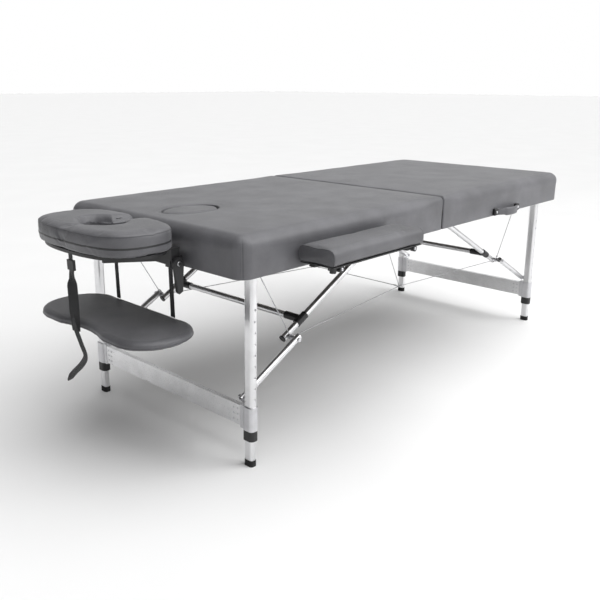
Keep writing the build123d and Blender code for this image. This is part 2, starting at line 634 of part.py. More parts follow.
# ---- armrests --------------------------------------------------------------------------------
def make_armrest(y_side):
    name = f"{PLACE[y_side]}_armrest"
    x_low, x_high = sorted(x_at(-1, out) for out in ARM_OUT)
    y_low, y_high = sorted((y_side * ARM_INNER, y_side * ARM_OUTER))
    with BuildPart() as pad:
        block((x_low, x_high), (y_low, y_high), ARM_PAD_Z)
        fillet(pad.faces().sort_by(Axis.Z)[-1].edges(), radius=9)
    save(pad.part, f"{name}_pad")

    cap_length, cap_radius = 12.0, 9.0
    with BuildPart() as frame:
        block((x_low + 10, x_high - 10), (y_low + 8, y_high - 8), ARM_BOARD_Z)
        for out in ARM_ROD_OUT:
            x = x_at(-1, out)
            inner, outer = (y_side * y for y in ARM_ROD_Y)
            bar((x, inner, ARM_ROD_Z), (x, outer, ARM_ROD_Z), ARM_ROD_RADIUS)
            cap_end = (x, outer + y_side * cap_length, ARM_ROD_Z)
            bar((x, outer, ARM_ROD_Z), cap_end, cap_radius)
            for reach in ARM_CLAMP_Y:
                clamp = (y_side * (reach - 10), y_side * (reach + 10))
                block((x - 9, x + 9), clamp, (ARM_ROD_Z - 9, ARM_BOARD_Z[0]))
        knob_x, knob_y = x_at(-1, ARM_OUT[1] - 22), y_side * (ARM_OUTER - 20)
        knob_top = (knob_x, knob_y, ARM_BOARD_Z[0])
        bar(knob_top, (knob_x, knob_y, ARM_BOARD_Z[0] - 14), 9)
    save(frame.part, f"{name}_frame")


# ---- face cradle and hanging arm shelf -------------------------------------------------------
def make_cradle_base():
    """Rods that plug into the head end, joined by a crosspiece with the tilt clevis."""
    x, z = x_at(-1, CRADLE_PIVOT_OUT), CRADLE_PIVOT_Z
    half_clevis, half_width = 14.0, 11.0
    with BuildPart() as base:
        for y_side in (-1, 1):
            y = y_side * CRADLE_ROD_Y
            tip, root = x_at(-1, CRADLE_ROD_TIP), x + 4
            bar((tip, y, CRADLE_ROD_Z), (root, y, CRADLE_ROD_Z), CRADLE_ROD_RADIUS)
            across = (y - half_width, y + half_width)
            block((x - half_clevis, x + half_clevis), across, (z - 12, z + 20))
            start = (x, y_side * (CRADLE_ROD_Y + half_width), z)
            end = (x, y_side * (CRADLE_ROD_Y + half_width + 24), z)
            bar(start, end, CRADLE_PIVOT_RADIUS)
        block((x - 8, x + 8), (-CRADLE_ROD_Y, CRADLE_ROD_Y), (z - 8, z + 8))
    save(base.part, "cradle_base")


def cradle_outline(grow=0.0):
    """Horseshoe seen from above: an oval with a face hole that opens towards the table."""
    far = HALF_LENGTH + CRADLE_REACH
    middle = x_at(-1, (far + CRADLE_NEAR_EDGE) / 2)
    half_length = (far - CRADLE_NEAR_EDGE) / 2
    half_width = CRADLE_HALF_WIDTH

    def rim(turn):
        """Signed powers of a turn's cosine and sine, for a superellipse."""
        for share in (cos(turn), sin(turn)):
            yield copysign(abs(share) ** (2 / CRADLE_SQUARENESS), share)

    turns = (rim(2 * pi * step / 24) for step in range(24))
    points = [(middle + (half_length + grow) * u, (half_width + grow) * v) for u, v in turns]
    with BuildSketch(Plane.XY) as outline:
        with BuildLine():
            Spline(*points, periodic=True)
        make_face()
        with Locations((middle, 0)):
            Ellipse(CRADLE_HOLE[0] - grow, CRADLE_HOLE[1] - grow, mode=Mode.SUBTRACT)
        with Locations((middle + half_length / 2 + 5, 0)):
            Rectangle(half_length + 20, 2 * (CRADLE_MOUTH - grow), mode=Mode.SUBTRACT)
    return outline.sketch


def make_cradle_platform():
    """Board under the cushion, with two side arms that turn on the base's pivot."""
    x, z = x_at(-1, CRADLE_PIVOT_OUT), CRADLE_PIVOT_Z
    board_top = CRADLE_BOTTOM - 0.5
    board = cradle_outline(-PLATFORM_MARGIN).moved(Location((0, 0, board_top - PLATFORM_THICKNESS)))
    root = CRADLE_ROD_Y + 12
    tip = 72.0
    reach = 155.0
    with BuildPart() as platform:
        extrude(board, amount=PLATFORM_THICKNESS)
        for y_side in (-1, 1):
            with BuildSketch(Plane.XY.offset(board_top - ARM_HEIGHT)) as arm:
                with BuildLine():
                    Polyline(
                        (x + 12, y_side * root),
                        (x + 12, y_side * (root + ARM_THICKNESS)),
                        (x - 16, y_side * (root + ARM_THICKNESS)),
                        (x - reach, y_side * (tip + ARM_THICKNESS)),
                        (x - reach, y_side * tip),
                        (x - 18, y_side * root),
                        close=True,
                    )
                make_face()
            extrude(arm.sketch, amount=ARM_HEIGHT - 1)
            across = sorted((y_side * root, y_side * (root + ARM_THICKNESS)))
            block((x - 12, x + 12), across, (z - 12, board_top - ARM_HEIGHT))
            start, end = (x, y_side * (root - 3), z), (x, y_side * (root + ARM_THICKNESS + 3), z)
            bar(start, end, CRADLE_PIVOT_RADIUS + RUNNING, mode=Mode.SUBTRACT)
    save(platform.part, "cradle_platform")


def make_cradle_cushion():
    outline = cradle_outline().moved(Location((0, 0, CRADLE_BOTTOM)))
    with BuildPart() as cushion:
        extrude(outline, amount=CRADLE_TOP - CRADLE_BOTTOM)
        fillet(cushion.faces().sort_by(Axis.Z)[-1].edges(), radius=9)
    save(cushion.part, "cradle_cushion")


def make_cradle_lever():
    """Cam lever on the near end of the pivot; it hangs down when the cam is clamped."""
    x, z = x_at(-1, CRADLE_PIVOT_OUT), CRADLE_PIVOT_Z
    wall = -(CRADLE_ROD_Y + 12 + ARM_THICKNESS + 1)
    with BuildPart() as lever:
        with BuildSketch(Plane.XZ.offset(-wall)) as outline:
            with Locations((x, z)):
                Circle(17)
            with BuildLine():
                Polyline(
                    (x - 15, z - 6),
                    (x + 15, z - 6),
                    (x + 9, z - LEVER_LENGTH + 6),
                    (x - 3, z - LEVER_LENGTH),
                    (x - 8, z - LEVER_LENGTH + 6),
                    close=True,
                )
            make_face()
        extrude(outline.sketch, amount=LEVER_THICKNESS)
        start, end = (x, wall + 3, z), (x, wall - LEVER_THICKNESS - 3, z)
        bar(start, end, CRADLE_PIVOT_RADIUS + RUNNING, mode=Mode.SUBTRACT)
    save(lever.part, "cradle_lever")


def shelf_outline():
    """Kidney shape: an oval across the table with a shallow bay in its outer side."""
    x_far, x_near = x_at(-1, SHELF_OUT[1]), x_at(-1, SHELF_OUT[0])
    depth = x_near - x_far
    with BuildSketch(Plane.XY) as outline:
        with Locations(((x_far + x_near) / 2, 0)):
            RectangleRounded(depth, 2 * SHELF_HALF_WIDTH, depth * 0.47)
        with Locations((x_far + SHELF_BAY_DEPTH - SHELF_BAY_RADIUS, 0)):
            Circle(SHELF_BAY_RADIUS, mode=Mode.SUBTRACT)
        rim = outline.vertices().group_by(Axis.X)[0].sort_by(Axis.Y)
        fillet([rim[0], rim[-1]] if len(rim) == 2 else rim[1:-1], radius=80)
    return outline.sketch


def make_shelf():
    outline = shelf_outline().moved(Location((0, 0, SHELF_Z[0])))
    with BuildPart() as shelf:
        extrude(outline, amount=SHELF_Z[1] - SHELF_Z[0])
        fillet(shelf.faces().sort_by(Axis.Z)[-1].edges(), radius=8)
    save(shelf.part, "arm_shelf")


def make_shelf_straps():
    """Hanging straps: the outer one runs down the bay, the other two to the top of the shelf."""
    with BuildPart() as straps:
        for out, y in STRAP_PLACES:
            x = x_at(-1, out)
            span_x = (x - STRAP_THICKNESS / 2, x + STRAP_THICKNESS / 2)
            span_y = (y - STRAP_WIDTH / 2, y + STRAP_WIDTH / 2)
            outside = out > SHELF_OUT[1] - SHELF_BAY_DEPTH
            bottom = SHELF_Z[0] if outside else SHELF_Z[1] + 0.1
            block(span_x, span_y, (bottom, STRAP_TOP))
    save(straps.part, "shelf_straps")


def make_shelf_buckles():
    with BuildPart() as buckles:
        for out, y in STRAP_PLACES:
            x, z = x_at(-1, out), BUCKLE_Z
            block((x - 4, x + 4), (y - 15, y + 15), (z - 14, z + 14))
            slot_x, slot_y = (x - 1.05, x + 1.05), (y - 10.2, y + 10.2)
            block(slot_x, slot_y, (z - 15, z + 15), Mode.SUBTRACT)
    save(buckles.part, "shelf_buckles")


for section in SECTION:
    make_deck(section)
    make_rails(section)
    make_cushion(section)
    make_hinge_leaves(section)
    make_brackets(section)
    make_pivot_pins(section)
    make_outer_tubes(section)
    make_sleeves(section)
    make_collars(section)
    make_beam(section)
    make_upper_braces(section)
    make_crossbar(section)
    make_tees(section)
    make_lower_braces(section)
    make_brace_bolts(section)
    make_cables(section)
    for place in PLACE:
        make_inner_leg(section, place)
make_handle(1)
make_face_plug()
make_hinge_pins()
make_sockets()
for place in PLACE:
    make_armrest(place)
make_cradle_base()
make_cradle_platform()
make_cradle_cushion()
make_cradle_lever()
make_shelf()
make_shelf_straps()
make_shelf_buckles()

FOLD_ANGLES = {
    "leg": 90 + LEG_SPLAY,
    "upper brace": degrees(atan2(STRUT_DOWN, STRUT_OUT)),
    "lower brace on the leg": 180 - degrees(atan2(STRUT_DOWN, STRUT_OUT))
    - degrees(atan2(FOLDED_RISE, sqrt(LOWER_LENGTH**2 - FOLDED_RISE**2))) - 90 - LEG_SPLAY,
}
for member, angle in FOLD_ANGLES.items():
    print(f"{member}: folds {angle:.3f} degrees")
print(f"knee: {KNEE_OUT:.3f} out, {KNEE_Z:.3f} up; braces {UPPER_LENGTH:.2f} and {LOWER_LENGTH:.2f} long")
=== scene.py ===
"""Looks of the portable massage table: upholstery, webbing, cables, fittings, materials, light.

Lengths are millimetres until a point or a mesh is made, and `place` turns them into metres.
"out" is the distance from the seam between the two sections, as in the part's source:
side -1 is the head section and side +1 the foot section.
"""

import json
from math import asin, cos, hypot, pi, radians, sin, sqrt

import bmesh
import bpy
import numpy as np
from mathutils import Euler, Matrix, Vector, noise
from mathutils.bvhtree import BVHTree


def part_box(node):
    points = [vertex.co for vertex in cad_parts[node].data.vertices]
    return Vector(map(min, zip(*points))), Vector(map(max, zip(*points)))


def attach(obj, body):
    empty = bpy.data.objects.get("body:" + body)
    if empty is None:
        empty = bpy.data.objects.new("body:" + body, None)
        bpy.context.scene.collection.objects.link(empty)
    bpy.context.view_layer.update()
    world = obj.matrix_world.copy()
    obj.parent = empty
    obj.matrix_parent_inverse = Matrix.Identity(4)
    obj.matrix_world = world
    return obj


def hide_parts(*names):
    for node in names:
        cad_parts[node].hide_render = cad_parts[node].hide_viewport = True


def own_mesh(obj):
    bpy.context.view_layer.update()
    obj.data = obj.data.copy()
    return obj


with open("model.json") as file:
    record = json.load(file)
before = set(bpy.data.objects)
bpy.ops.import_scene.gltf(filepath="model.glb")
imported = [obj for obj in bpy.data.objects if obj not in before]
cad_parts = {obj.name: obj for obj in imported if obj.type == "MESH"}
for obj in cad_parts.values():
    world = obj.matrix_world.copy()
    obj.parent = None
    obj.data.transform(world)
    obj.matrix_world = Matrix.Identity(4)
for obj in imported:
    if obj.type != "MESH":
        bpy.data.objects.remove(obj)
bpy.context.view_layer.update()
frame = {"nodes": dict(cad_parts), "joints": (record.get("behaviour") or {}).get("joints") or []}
scene = bpy.context.scene

MM = 0.001
SECTION = {-1: "head", 1: "foot"}
NEAR_FAR = {-1: "near", 1: "far"}
joints = {joint["name"]: joint for joint in frame["joints"]}
SEAM_X = joints["seam_fold"]["pos_m"][0]


# ---- places that come from the frame ----------------------------------------------------------
def place(side, out, y, z):
    """A point in metres from millimetres measured from the seam."""
    return Vector((SEAM_X + side * out * MM, y * MM, z * MM))


def node_box(name):
    """Lowest and highest corner of a CAD node: out (signed), y and z in millimetres."""
    low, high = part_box(name)
    shift = Vector((SEAM_X, 0, 0))
    return (low - shift) / MM, (high - shift) / MM


deck_low, deck_high = node_box("foot_deck")
cushion_high = node_box("foot_cushion")[1]
plug_low, plug_high = node_box("face_plug")
cradle_low, cradle_high = node_box("cradle_cushion")
shelf_low, shelf_high = node_box("arm_shelf")

END = cushion_high.x
HALF_WIDTH = cushion_high.y
TOP = cushion_high.z
HEM = node_box("foot_rails")[0].z
DECK_TOP = deck_high.z
FACE_OUT = -(plug_low.x + plug_high.x) / 2
FACE_GAP = 1.5
FACE_HALF = ((plug_high.x - plug_low.x) / 2 + FACE_GAP, plug_high.y + FACE_GAP)


# ---- node helpers and materials ---------------------------------------------------------------
def shader(tree, kind, inputs=None, **settings):
    """Adds a shader node. An input is a value, or the output socket that feeds it."""
    made = tree.nodes.new("ShaderNode" + kind)
    for key, value in settings.items():
        setattr(made, key, value)
    for key, value in (inputs or {}).items():
        if isinstance(value, bpy.types.NodeSocket):
            tree.links.new(value, made.inputs[key])
        else:
            made.inputs[key].default_value = value
    return made


def new_material(name):
    material = bpy.data.materials.new(name)
    material.use_nodes = True
    tree = material.node_tree
    tree.nodes.clear()
    return material, tree


def finish_material(tree, inputs):
    """One principled surface with these inputs, joined to the material's output."""
    principled = shader(tree, "BsdfPrincipled", inputs)
    output = shader(tree, "OutputMaterial")
    tree.links.new(principled.outputs[0], output.inputs["Surface"])


def ramp(tree, factor, stops, interpolation="LINEAR"):
    """A colour ramp; stops are (position, grey or colour)."""
    made = shader(tree, "ValToRGB", {"Fac": factor})
    made.color_ramp.interpolation = interpolation
    elements = made.color_ramp.elements
    while len(elements) < len(stops):
        elements.new(0.5)
    for element, (position, colour) in zip(elements, stops):
        element.position = position
        rgb = (colour,) * 3 if isinstance(colour, (int, float)) else colour
        element.color = (*rgb, 1)
    return made.outputs["Color"]


def coordinates(tree, scale=(1, 1, 1)):
    """Object coordinates in metres, which are the row frame's, stretched by scale."""
    made = shader(tree, "TexCoord")
    mapped = shader(tree, "Mapping", {"Vector": made.outputs["Object"], "Scale": scale})
    return mapped.outputs["Vector"]


def spread(tree, factor, low, high):
    """Maps a 0 to 1 texture value to a range."""
    made = shader(tree, "MapRange", {"Value": factor, "To Min": low, "To Max": high})
    return made.outputs["Result"]


def added(tree, first, second):
    return shader(tree, "Math", {0: first, 1: second}, operation="ADD").outputs[0]


def bumped(tree, height, strength, distance, under=None):
    """A bump normal, laid over another one when it is given."""
    inputs = {"Height": height, "Strength": strength, "Distance": distance}
    if under is not None:
        inputs["Normal"] = under
    return shader(tree, "Bump", inputs).outputs["Normal"]


def toned(colour, factor):
    return tuple(min(1, c * factor) for c in colour)


def leatherette(name, colour, roughness=(0.36, 0.5)):
    """Embossed vinyl: fine pebbled grain, a soft sheen, slightly uneven colour and painted shade in the
    grain's crevices.
    """
    material, tree = new_material(name)
    where = coordinates(tree)
    grain = shader(
        tree, "TexVoronoi", {"Vector": where, "Scale": 620, "Randomness": 1.0},
        feature="DISTANCE_TO_EDGE",
    )
    creases = shader(tree, "TexNoise", {"Vector": where, "Scale": 900, "Detail": 3})
    cloud = shader(tree, "TexNoise", {"Vector": where, "Scale": 9, "Detail": 4})
    speck = shader(tree, "TexNoise", {"Vector": where, "Scale": 260, "Detail": 2})
    tone = ramp(
        tree, cloud.outputs["Fac"], ((0.35, toned(colour, 0.82)), (0.65, toned(colour, 1.18)))
    )
    # painted shade: the colour is darkened towards the crevices between the grain's pebbles
    crevice_shade = ramp(tree, grain.outputs["Distance"], ((0.0, 0.72), (0.12, 1.0)))
    pebbles = ramp(tree, grain.outputs["Distance"], ((0.0, 0.0), (0.25, 1.0)))
    mixed = {"Fac": 0.8, "Color1": tone, "Color2": crevice_shade}
    base = shader(tree, "MixRGB", mixed, blend_type="MULTIPLY")
    fine = bumped(tree, added(tree, pebbles, creases.outputs["Fac"]), 0.35, 0.0002)
    finish_material(tree, {
        "Base Color": base.outputs["Color"],
        "Roughness": spread(tree, speck.outputs["Fac"], *roughness),
        "Normal": bumped(tree, speck.outputs["Fac"], 0.25, 0.0006, fine),
        "Specular IOR Level": 0.5,
        "Sheen Weight": 0.15,
        "Sheen Roughness": 0.4,
    })
    return material


def metal(name, colour, roughness, stretch=(60, 60, 60), brushed=0.4, wear=0.1):
    """Bare metal. The brush lines run along the axis whose stretch is small."""
    material, tree = new_material(name)
    brush = {"Vector": coordinates(tree, stretch), "Scale": 12, "Detail": 4}
    lines = shader(tree, "TexNoise", brush)
    cloud = shader(tree, "TexNoise", {"Vector": coordinates(tree), "Scale": 22, "Detail": 5})
    scuffs = shader(
        tree, "TexNoise", {"Vector": coordinates(tree), "Scale": 210, "Detail": 2, "Distortion": 1.2}
    )
    rough = added(
        tree,
        spread(tree, lines.outputs["Fac"], roughness - 0.08, roughness + 0.08),
        spread(tree, scuffs.outputs["Fac"], -0.04, 0.07),
    )
    finish_material(tree, {
        "Base Color": ramp(tree, cloud.outputs["Fac"], ((0.3, toned(colour, 1 - wear)), (0.62, colour))),
        "Metallic": 1.0,
        "Roughness": rough,
        "Normal": bumped(tree, lines.outputs["Fac"], brushed, 0.00015),
    })
    return material


def moulded(name, colour, roughness=0.45, grain=900, strength=0.3, specular=0.5):
    """Moulded plastic or rubber with a fine spark-eroded texture and dull patches."""
    material, tree = new_material(name)
    where = coordinates(tree)
    pits = shader(tree, "TexNoise", {"Vector": where, "Scale": grain, "Detail": 2})
    cloud = shader(tree, "TexNoise", {"Vector": where, "Scale": 45, "Detail": 4})
    finish_material(tree, {
        "Base Color": ramp(
            tree, cloud.outputs["Fac"], ((0.3, toned(colour, 0.8)), (0.7, toned(colour, 1.25)))
        ),
        "Roughness": spread(tree, cloud.outputs["Fac"], roughness - 0.07, roughness + 0.1),
        "Normal": bumped(tree, pits.outputs["Fac"], strength, 0.0002),
        "Specular IOR Level": specular,
    })
    return material


def wood(name, light, dark, gloss=0.5):
    """Plywood or stained rail: long grain lines with fibre streaks."""
    material, tree = new_material(name)
    where = coordinates(tree, (3, 40, 40))
    grain = shader(tree, "TexNoise", {"Vector": where, "Scale": 4, "Detail": 8, "Distortion": 0.6})
    fibre = shader(tree, "TexNoise", {"Vector": where, "Scale": 40, "Detail": 3})
    finish_material(tree, {
        "Base Color": ramp(tree, grain.outputs["Fac"], ((0.35, dark), (0.6, light))),
        "Roughness": spread(tree, fibre.outputs["Fac"], gloss - 0.08, gloss + 0.12),
        "Normal": bumped(tree, fibre.outputs["Fac"], 0.35, 0.0003),
    })
    return material


def webbing_material(name, colour, rib=2.2):
    """Woven strap: ribs across it and a herringbone of finer yarns, from its UVs in mm."""
    material, tree = new_material(name)
    uv = shader(tree, "TexCoord").outputs["UV"]
    ribs = shader(
        tree, "TexWave", {"Vector": uv, "Scale": 1 / rib, "Distortion": 0.4, "Detail": 1},
        wave_type="BANDS", bands_direction="Y",
    )
    yarns = shader(
        tree, "TexWave", {"Vector": uv, "Scale": 0.7 / rib, "Distortion": 0.6, "Detail": 2},
        wave_type="BANDS", bands_direction="DIAGONAL",
    )
    height = added(tree, ribs.outputs["Fac"], yarns.outputs["Fac"])
    finish_material(tree, {
        "Base Color": ramp(
            tree, yarns.outputs["Fac"], ((0.2, toned(colour, 0.6)), (0.8, toned(colour, 1.4)))
        ),
        "Roughness": 0.82,
        "Normal": bumped(tree, height, 0.6, 0.0005),
        "Sheen Weight": 0.3,
    })
    return material


CHARCOAL = (0.125, 0.125, 0.135)
cover_material = leatherette("leatherette", CHARCOAL)
pad_material = leatherette("leatherette_pads", (0.115, 0.115, 0.124))
thread_material = moulded("thread", (0.045, 0.045, 0.05), 0.7, 2500, 0.6)
piping_material = leatherette("leatherette_piping", (0.07, 0.07, 0.077), (0.4, 0.55))
leg_metal = metal("aluminium_legs", (0.80, 0.80, 0.81), 0.3, (60, 60, 2), 0.35)
beam_metal = metal("aluminium_beams", (0.82, 0.82, 0.83), 0.28, (60, 2, 60), 0.35)
brace_metal = metal("aluminium_braces", (0.80, 0.80, 0.81), 0.3, (12, 60, 12), 0.25)
cast_metal = metal("cast_aluminium", (0.70, 0.70, 0.72), 0.42, (90, 90, 90), 0.5, 0.16)
steel = metal("zinc_steel", (0.66, 0.66, 0.68), 0.3, (90, 90, 90), 0.25, 0.22)
rope_metal = metal("wire_rope", (0.52, 0.52, 0.54), 0.38, (300, 300, 300), 0.9, 0.3)
black_plastic = moulded("black_plastic", (0.018, 0.018, 0.019), 0.42)
soft_rubber = moulded("rubber", (0.022, 0.022, 0.022), 0.72, 700, 0.5, 0.3)
webbing = webbing_material("webbing", (0.016, 0.016, 0.018))
board = wood("stained_plywood", (0.075, 0.068, 0.060), (0.045, 0.040, 0.035))
stained = wood("stained_rail", (0.035, 0.035, 0.037), (0.018, 0.018, 0.02))

NODE_MATERIALS = (
    ("_deck", board),
    ("_rails", stained),
    ("_sleeves", cast_metal),
    ("_outer_tubes", leg_metal),
    ("_inner_tube", leg_metal),
    ("_beam", beam_metal),
    ("_crossbar", beam_metal),
    ("_braces", brace_metal),
    ("_collars", black_plastic),
    ("_tees", black_plastic),
    ("_sockets", black_plastic),
    ("_platform", black_plastic),
    ("_lever", black_plastic),
    ("_base", black_plastic),
    ("_buckles", black_plastic),
    ("armrest_frame", black_plastic),
    ("_foot", soft_rubber),
)
BEVELLED = ("_tees", "_base", "_lever", "_platform", "_buckles", "armrest_frame", "_sleeves", "_beam")


def dress_frame():
    """Every CAD node gets its material, and the moulded and cast ones a small rounding."""
    for name, piece in frame["nodes"].items():
        found = [material for ending, material in NODE_MATERIALS if name.endswith(ending)]
        piece.data.materials.clear()
        piece.data.materials.append(found[0] if found else steel)
        if name.endswith(BEVELLED):
            bevel = piece.modifiers.new("edges", "BEVEL")
            bevel.width = 0.9 * MM
            bevel.segments = 2
            bevel.limit_method = "ANGLE"
            bevel.angle_limit = radians(50)
            bevel.use_clamp_overlap = True


# ---- mesh helpers -----------------------------------------------------------------------------
def linked(name, data):
    made = bpy.data.objects.new(name, data)
    scene.collection.objects.link(made)
    return made


def new_piece(name, points, faces, material, smooth=True):
    mesh = bpy.data.meshes.new(name)
    mesh.from_pydata([tuple(p) for p in points], [], faces)
    mesh.materials.append(material)
    mesh.polygons.foreach_set("use_smooth", [smooth] * len(mesh.polygons))
    mesh.update()
    return linked(name, mesh)


def loft(name, rings, material, caps=(True, True), smooth=True):
    """Joins closed rings of equal count with quads; a cap is one face over a ring."""
    count = len(rings[0])
    points = [p for ring in rings for p in ring]
    faces = []
    for r in range(len(rings) - 1):
        for k in range(count):
            after = (k + 1) % count
            a, b = r * count, (r + 1) * count
            faces.append((a + k, a + after, b + after, b + k))
    if caps[0]:
        faces.append(tuple(reversed(range(count))))
    if caps[1]:
        faces.append(tuple((len(rings) - 1) * count + k for k in range(count)))
    piece = new_piece(name, points, faces, material, smooth)
    recalculate(piece)
    return piece


def edited(piece, edit):
    """Runs a bmesh edit on a piece's mesh."""
    mesh = bmesh.new()
    mesh.from_mesh(piece.data)
    edit(mesh)
    mesh.to_mesh(piece.data)
    mesh.free()
    return piece


def merge_doubles(piece, distance=0.02):
    """Joins points that lie within a distance, in millimetres."""
    return edited(
        piece, lambda mesh: bmesh.ops.remove_doubles(mesh, verts=mesh.verts, dist=distance * MM)
    )


def recalculate(piece):
    """Turns the faces outwards."""
    return edited(piece, lambda mesh: bmesh.ops.recalc_face_normals(mesh, faces=mesh.faces))


def tube_rings(path, radius, sides=12):
    """Rings round a path of points, with no twist between them."""
    path = [Vector(p) for p in path]
    radii = radius if hasattr(radius, "__len__") else [radius] * len(path)
    normal = None
    rings = []
    for k, point in enumerate(path):
        ahead = path[min(k + 1, len(path) - 1)] - path[max(k - 1, 0)]
        ahead.normalize()
        if normal is None:
            normal = ahead.orthogonal().normalized()
        normal = (normal - ahead * normal.dot(ahead)).normalized()
        cross = ahead.cross(normal)
        angles = (2 * pi * s / sides for s in range(sides))
        rings.append([point + (normal * cos(a) + cross * sin(a)) * radii[k] for a in angles])
    return rings


def tube(name, path, radius, material, sides=12):
    return loft(name, tube_rings(path, radius, sides), material)


def join(pieces, name):
    """One object from several, with their materials kept."""
    data, faces, materials, slots, smooth = [], [], [], [], []
    for piece in pieces:
        start = len(data)
        data += [piece.matrix_world @ v.co for v in piece.data.vertices]
        material = piece.data.materials[0]
        if material not in materials:
            materials.append(material)
        for polygon in piece.data.polygons:
            faces.append([start + v for v in polygon.vertices])
            slots.append(materials.index(material))
            smooth.append(polygon.use_smooth)
        bpy.data.objects.remove(piece)
    made = new_piece(name, data, faces, materials[0])
    for material in materials[1:]:
        made.data.materials.append(material)
    made.data.polygons.foreach_set("material_index", slots)
    made.data.polygons.foreach_set("use_smooth", smooth)
    return made


def smooth_closed(points, spacing, radius):
    """Resamples a closed outline evenly and rounds its corners by about that radius."""
    points = np.array(points, float)
    closed = np.vstack([points, points[:1]])
    lengths = np.hypot(*np.diff(closed, axis=0).T)
    total = lengths.sum()
    along = np.concatenate([[0], np.cumsum(lengths)])
    count = int(total / spacing)
    where = np.linspace(0, total, count, endpoint=False)
    line = np.stack([np.interp(where, along, closed[:, axis]) for axis in (0, 1)], 1)
    reach = max(1, int(round(radius / spacing)))
    for _ in range(3):
        line = sum(np.roll(line, k, axis=0) for k in range(-reach, reach + 1)) / (2 * reach + 1)
    return line


def arc(cx, cy, radius, start, steps):
    """A quarter circle in a plane, anticlockwise from an angle."""
    angles = [start + pi / 2 * k / steps for k in range(steps + 1)]
    return [(cx + radius * cos(a), cy + radius * sin(a)) for a in angles]


def outward(line):
    """Unit normals of a closed anticlockwise outline, pointing out."""
    ahead = np.roll(line, -1, axis=0) - np.roll(line, 1, axis=0)
    ahead /= np.hypot(*ahead.T)[:, None]
    return np.stack([ahead[:, 1], -ahead[:, 0]], 1)


def lying(u, v, height):
    """Where a point of a flat pad lies: u along the table, v across it."""
    return place(1, u, v, height)


def slab(name, line, levels, to_world, material):
    """A closed pad from an outline; levels are (height, inset) from one face to the other."""
    normals = outward(line)
    rings = []
    for height, inset in levels:
        moved = line - normals * inset
        rings.append([to_world(u, v, height) for u, v in moved])
    return loft(name, rings, material)


def eased(share):
    """A 0 to 1 share with its ends made smooth."""
    return share * share * (3 - 2 * share)


def rounded_levels(low, high, r_low, r_high, steps=5):
    """(height, inset) of a slab with both rims rounded."""
    angles = [pi / 2 * k / steps for k in range(steps + 1)]
    lower = [(low + r_low * (1 - cos(a)), r_low * (1 - sin(a))) for a in angles]
    upper = [(high - r_high * (1 - sin(a)), r_high * (1 - cos(a))) for a in angles]
    middle = [(low + r_low + (high - r_high - low - r_low) * f, 0) for f in (0.33, 0.67)]
    return lower + middle + upper


def read(piece):
    co = np.empty(len(piece.data.vertices) * 3)
    piece.data.vertices.foreach_get("co", co)
    return co.reshape(-1, 3)


def write(piece, co):
    piece.data.vertices.foreach_set("co", co.ravel())
    piece.data.update()


def baked(piece):
    """Applies the piece's modifiers to its mesh."""
    depsgraph = bpy.context.evaluated_depsgraph_get()
    mesh = bpy.data.meshes.new_from_object(piece.evaluated_get(depsgraph))
    piece.modifiers.clear()
    piece.data = mesh
    mesh.polygons.foreach_set("use_smooth", [True] * len(mesh.polygons))
    return piece


def remeshed(piece, voxel):
    remesh = piece.modifiers.new("voxels", "REMESH")
    remesh.mode = "VOXEL"
    remesh.voxel_size = voxel * MM
    remesh.use_smooth_shade = True
    baked(piece)
    relax = piece.modifiers.new("relax", "SMOOTH")
    relax.factor, relax.iterations = 0.5, 4
    return baked(piece)


def puff(piece, cap, pressure=4.0, frames=20):
    """Swells the foam by cloth simulation. No point moves further than cap, in millimetres."""
    rest = read(piece)
    cloth = piece.modifiers.new("Cloth", "CLOTH")
    settings = cloth.settings
    settings.quality = 5
    settings.mass = 0.3
    settings.tension_stiffness = 15
    settings.compression_stiffness = 15
    settings.shear_stiffness = 5
    settings.bending_stiffness = 0.5
    settings.use_pressure = True
    settings.uniform_pressure_force = pressure
    settings.effector_weights.gravity = 0
    cloth.collision_settings.use_collision = False
    cloth.point_cache.frame_start = 1
    cloth.point_cache.frame_end = frames
    for number in range(1, frames + 1):
        scene.frame_set(number)
    depsgraph = bpy.context.evaluated_depsgraph_get()
    evaluated = piece.evaluated_get(depsgraph)
    co = np.empty(len(evaluated.data.vertices) * 3)
    evaluated.data.vertices.foreach_get("co", co)
    move = co.reshape(-1, 3) - rest
    length = np.linalg.norm(move, axis=1)[:, None] + 1e-12
    limit = cap * MM
    move *= limit * np.tanh(length / limit) / length
    piece.modifiers.clear()
    write(piece, rest + move)
    scene.frame_set(1)
    refine = piece.modifiers.new("refine", "SUBSURF")
    refine.levels = refine.render_levels = 1
    return baked(piece)


def kept_within(piece, low, high):
    """Keeps a piece's points inside a box, in millimetres from the seam."""
    co = read(piece)
    low = np.array([SEAM_X + low[0] * MM, low[1] * MM, low[2] * MM])
    high = np.array([SEAM_X + high[0] * MM, high[1] * MM, high[2] * MM])
    write(piece, np.clip(co, low, high))
    return piece


def surface_of(piece):
    return BVHTree.FromPolygons(
        [v.co.copy() for v in piece.data.vertices], [tuple(p.vertices) for p in piece.data.polygons]
    )


def snapped(tree, points, lift=0.0):
    """The points moved to the nearest place on a surface, and its outward directions there."""
    found = [tree.find_nearest(Vector(p)) for p in points]
    return [hit + normal * lift * MM for hit, normal, _, _ in found], [f[1] for f in found]


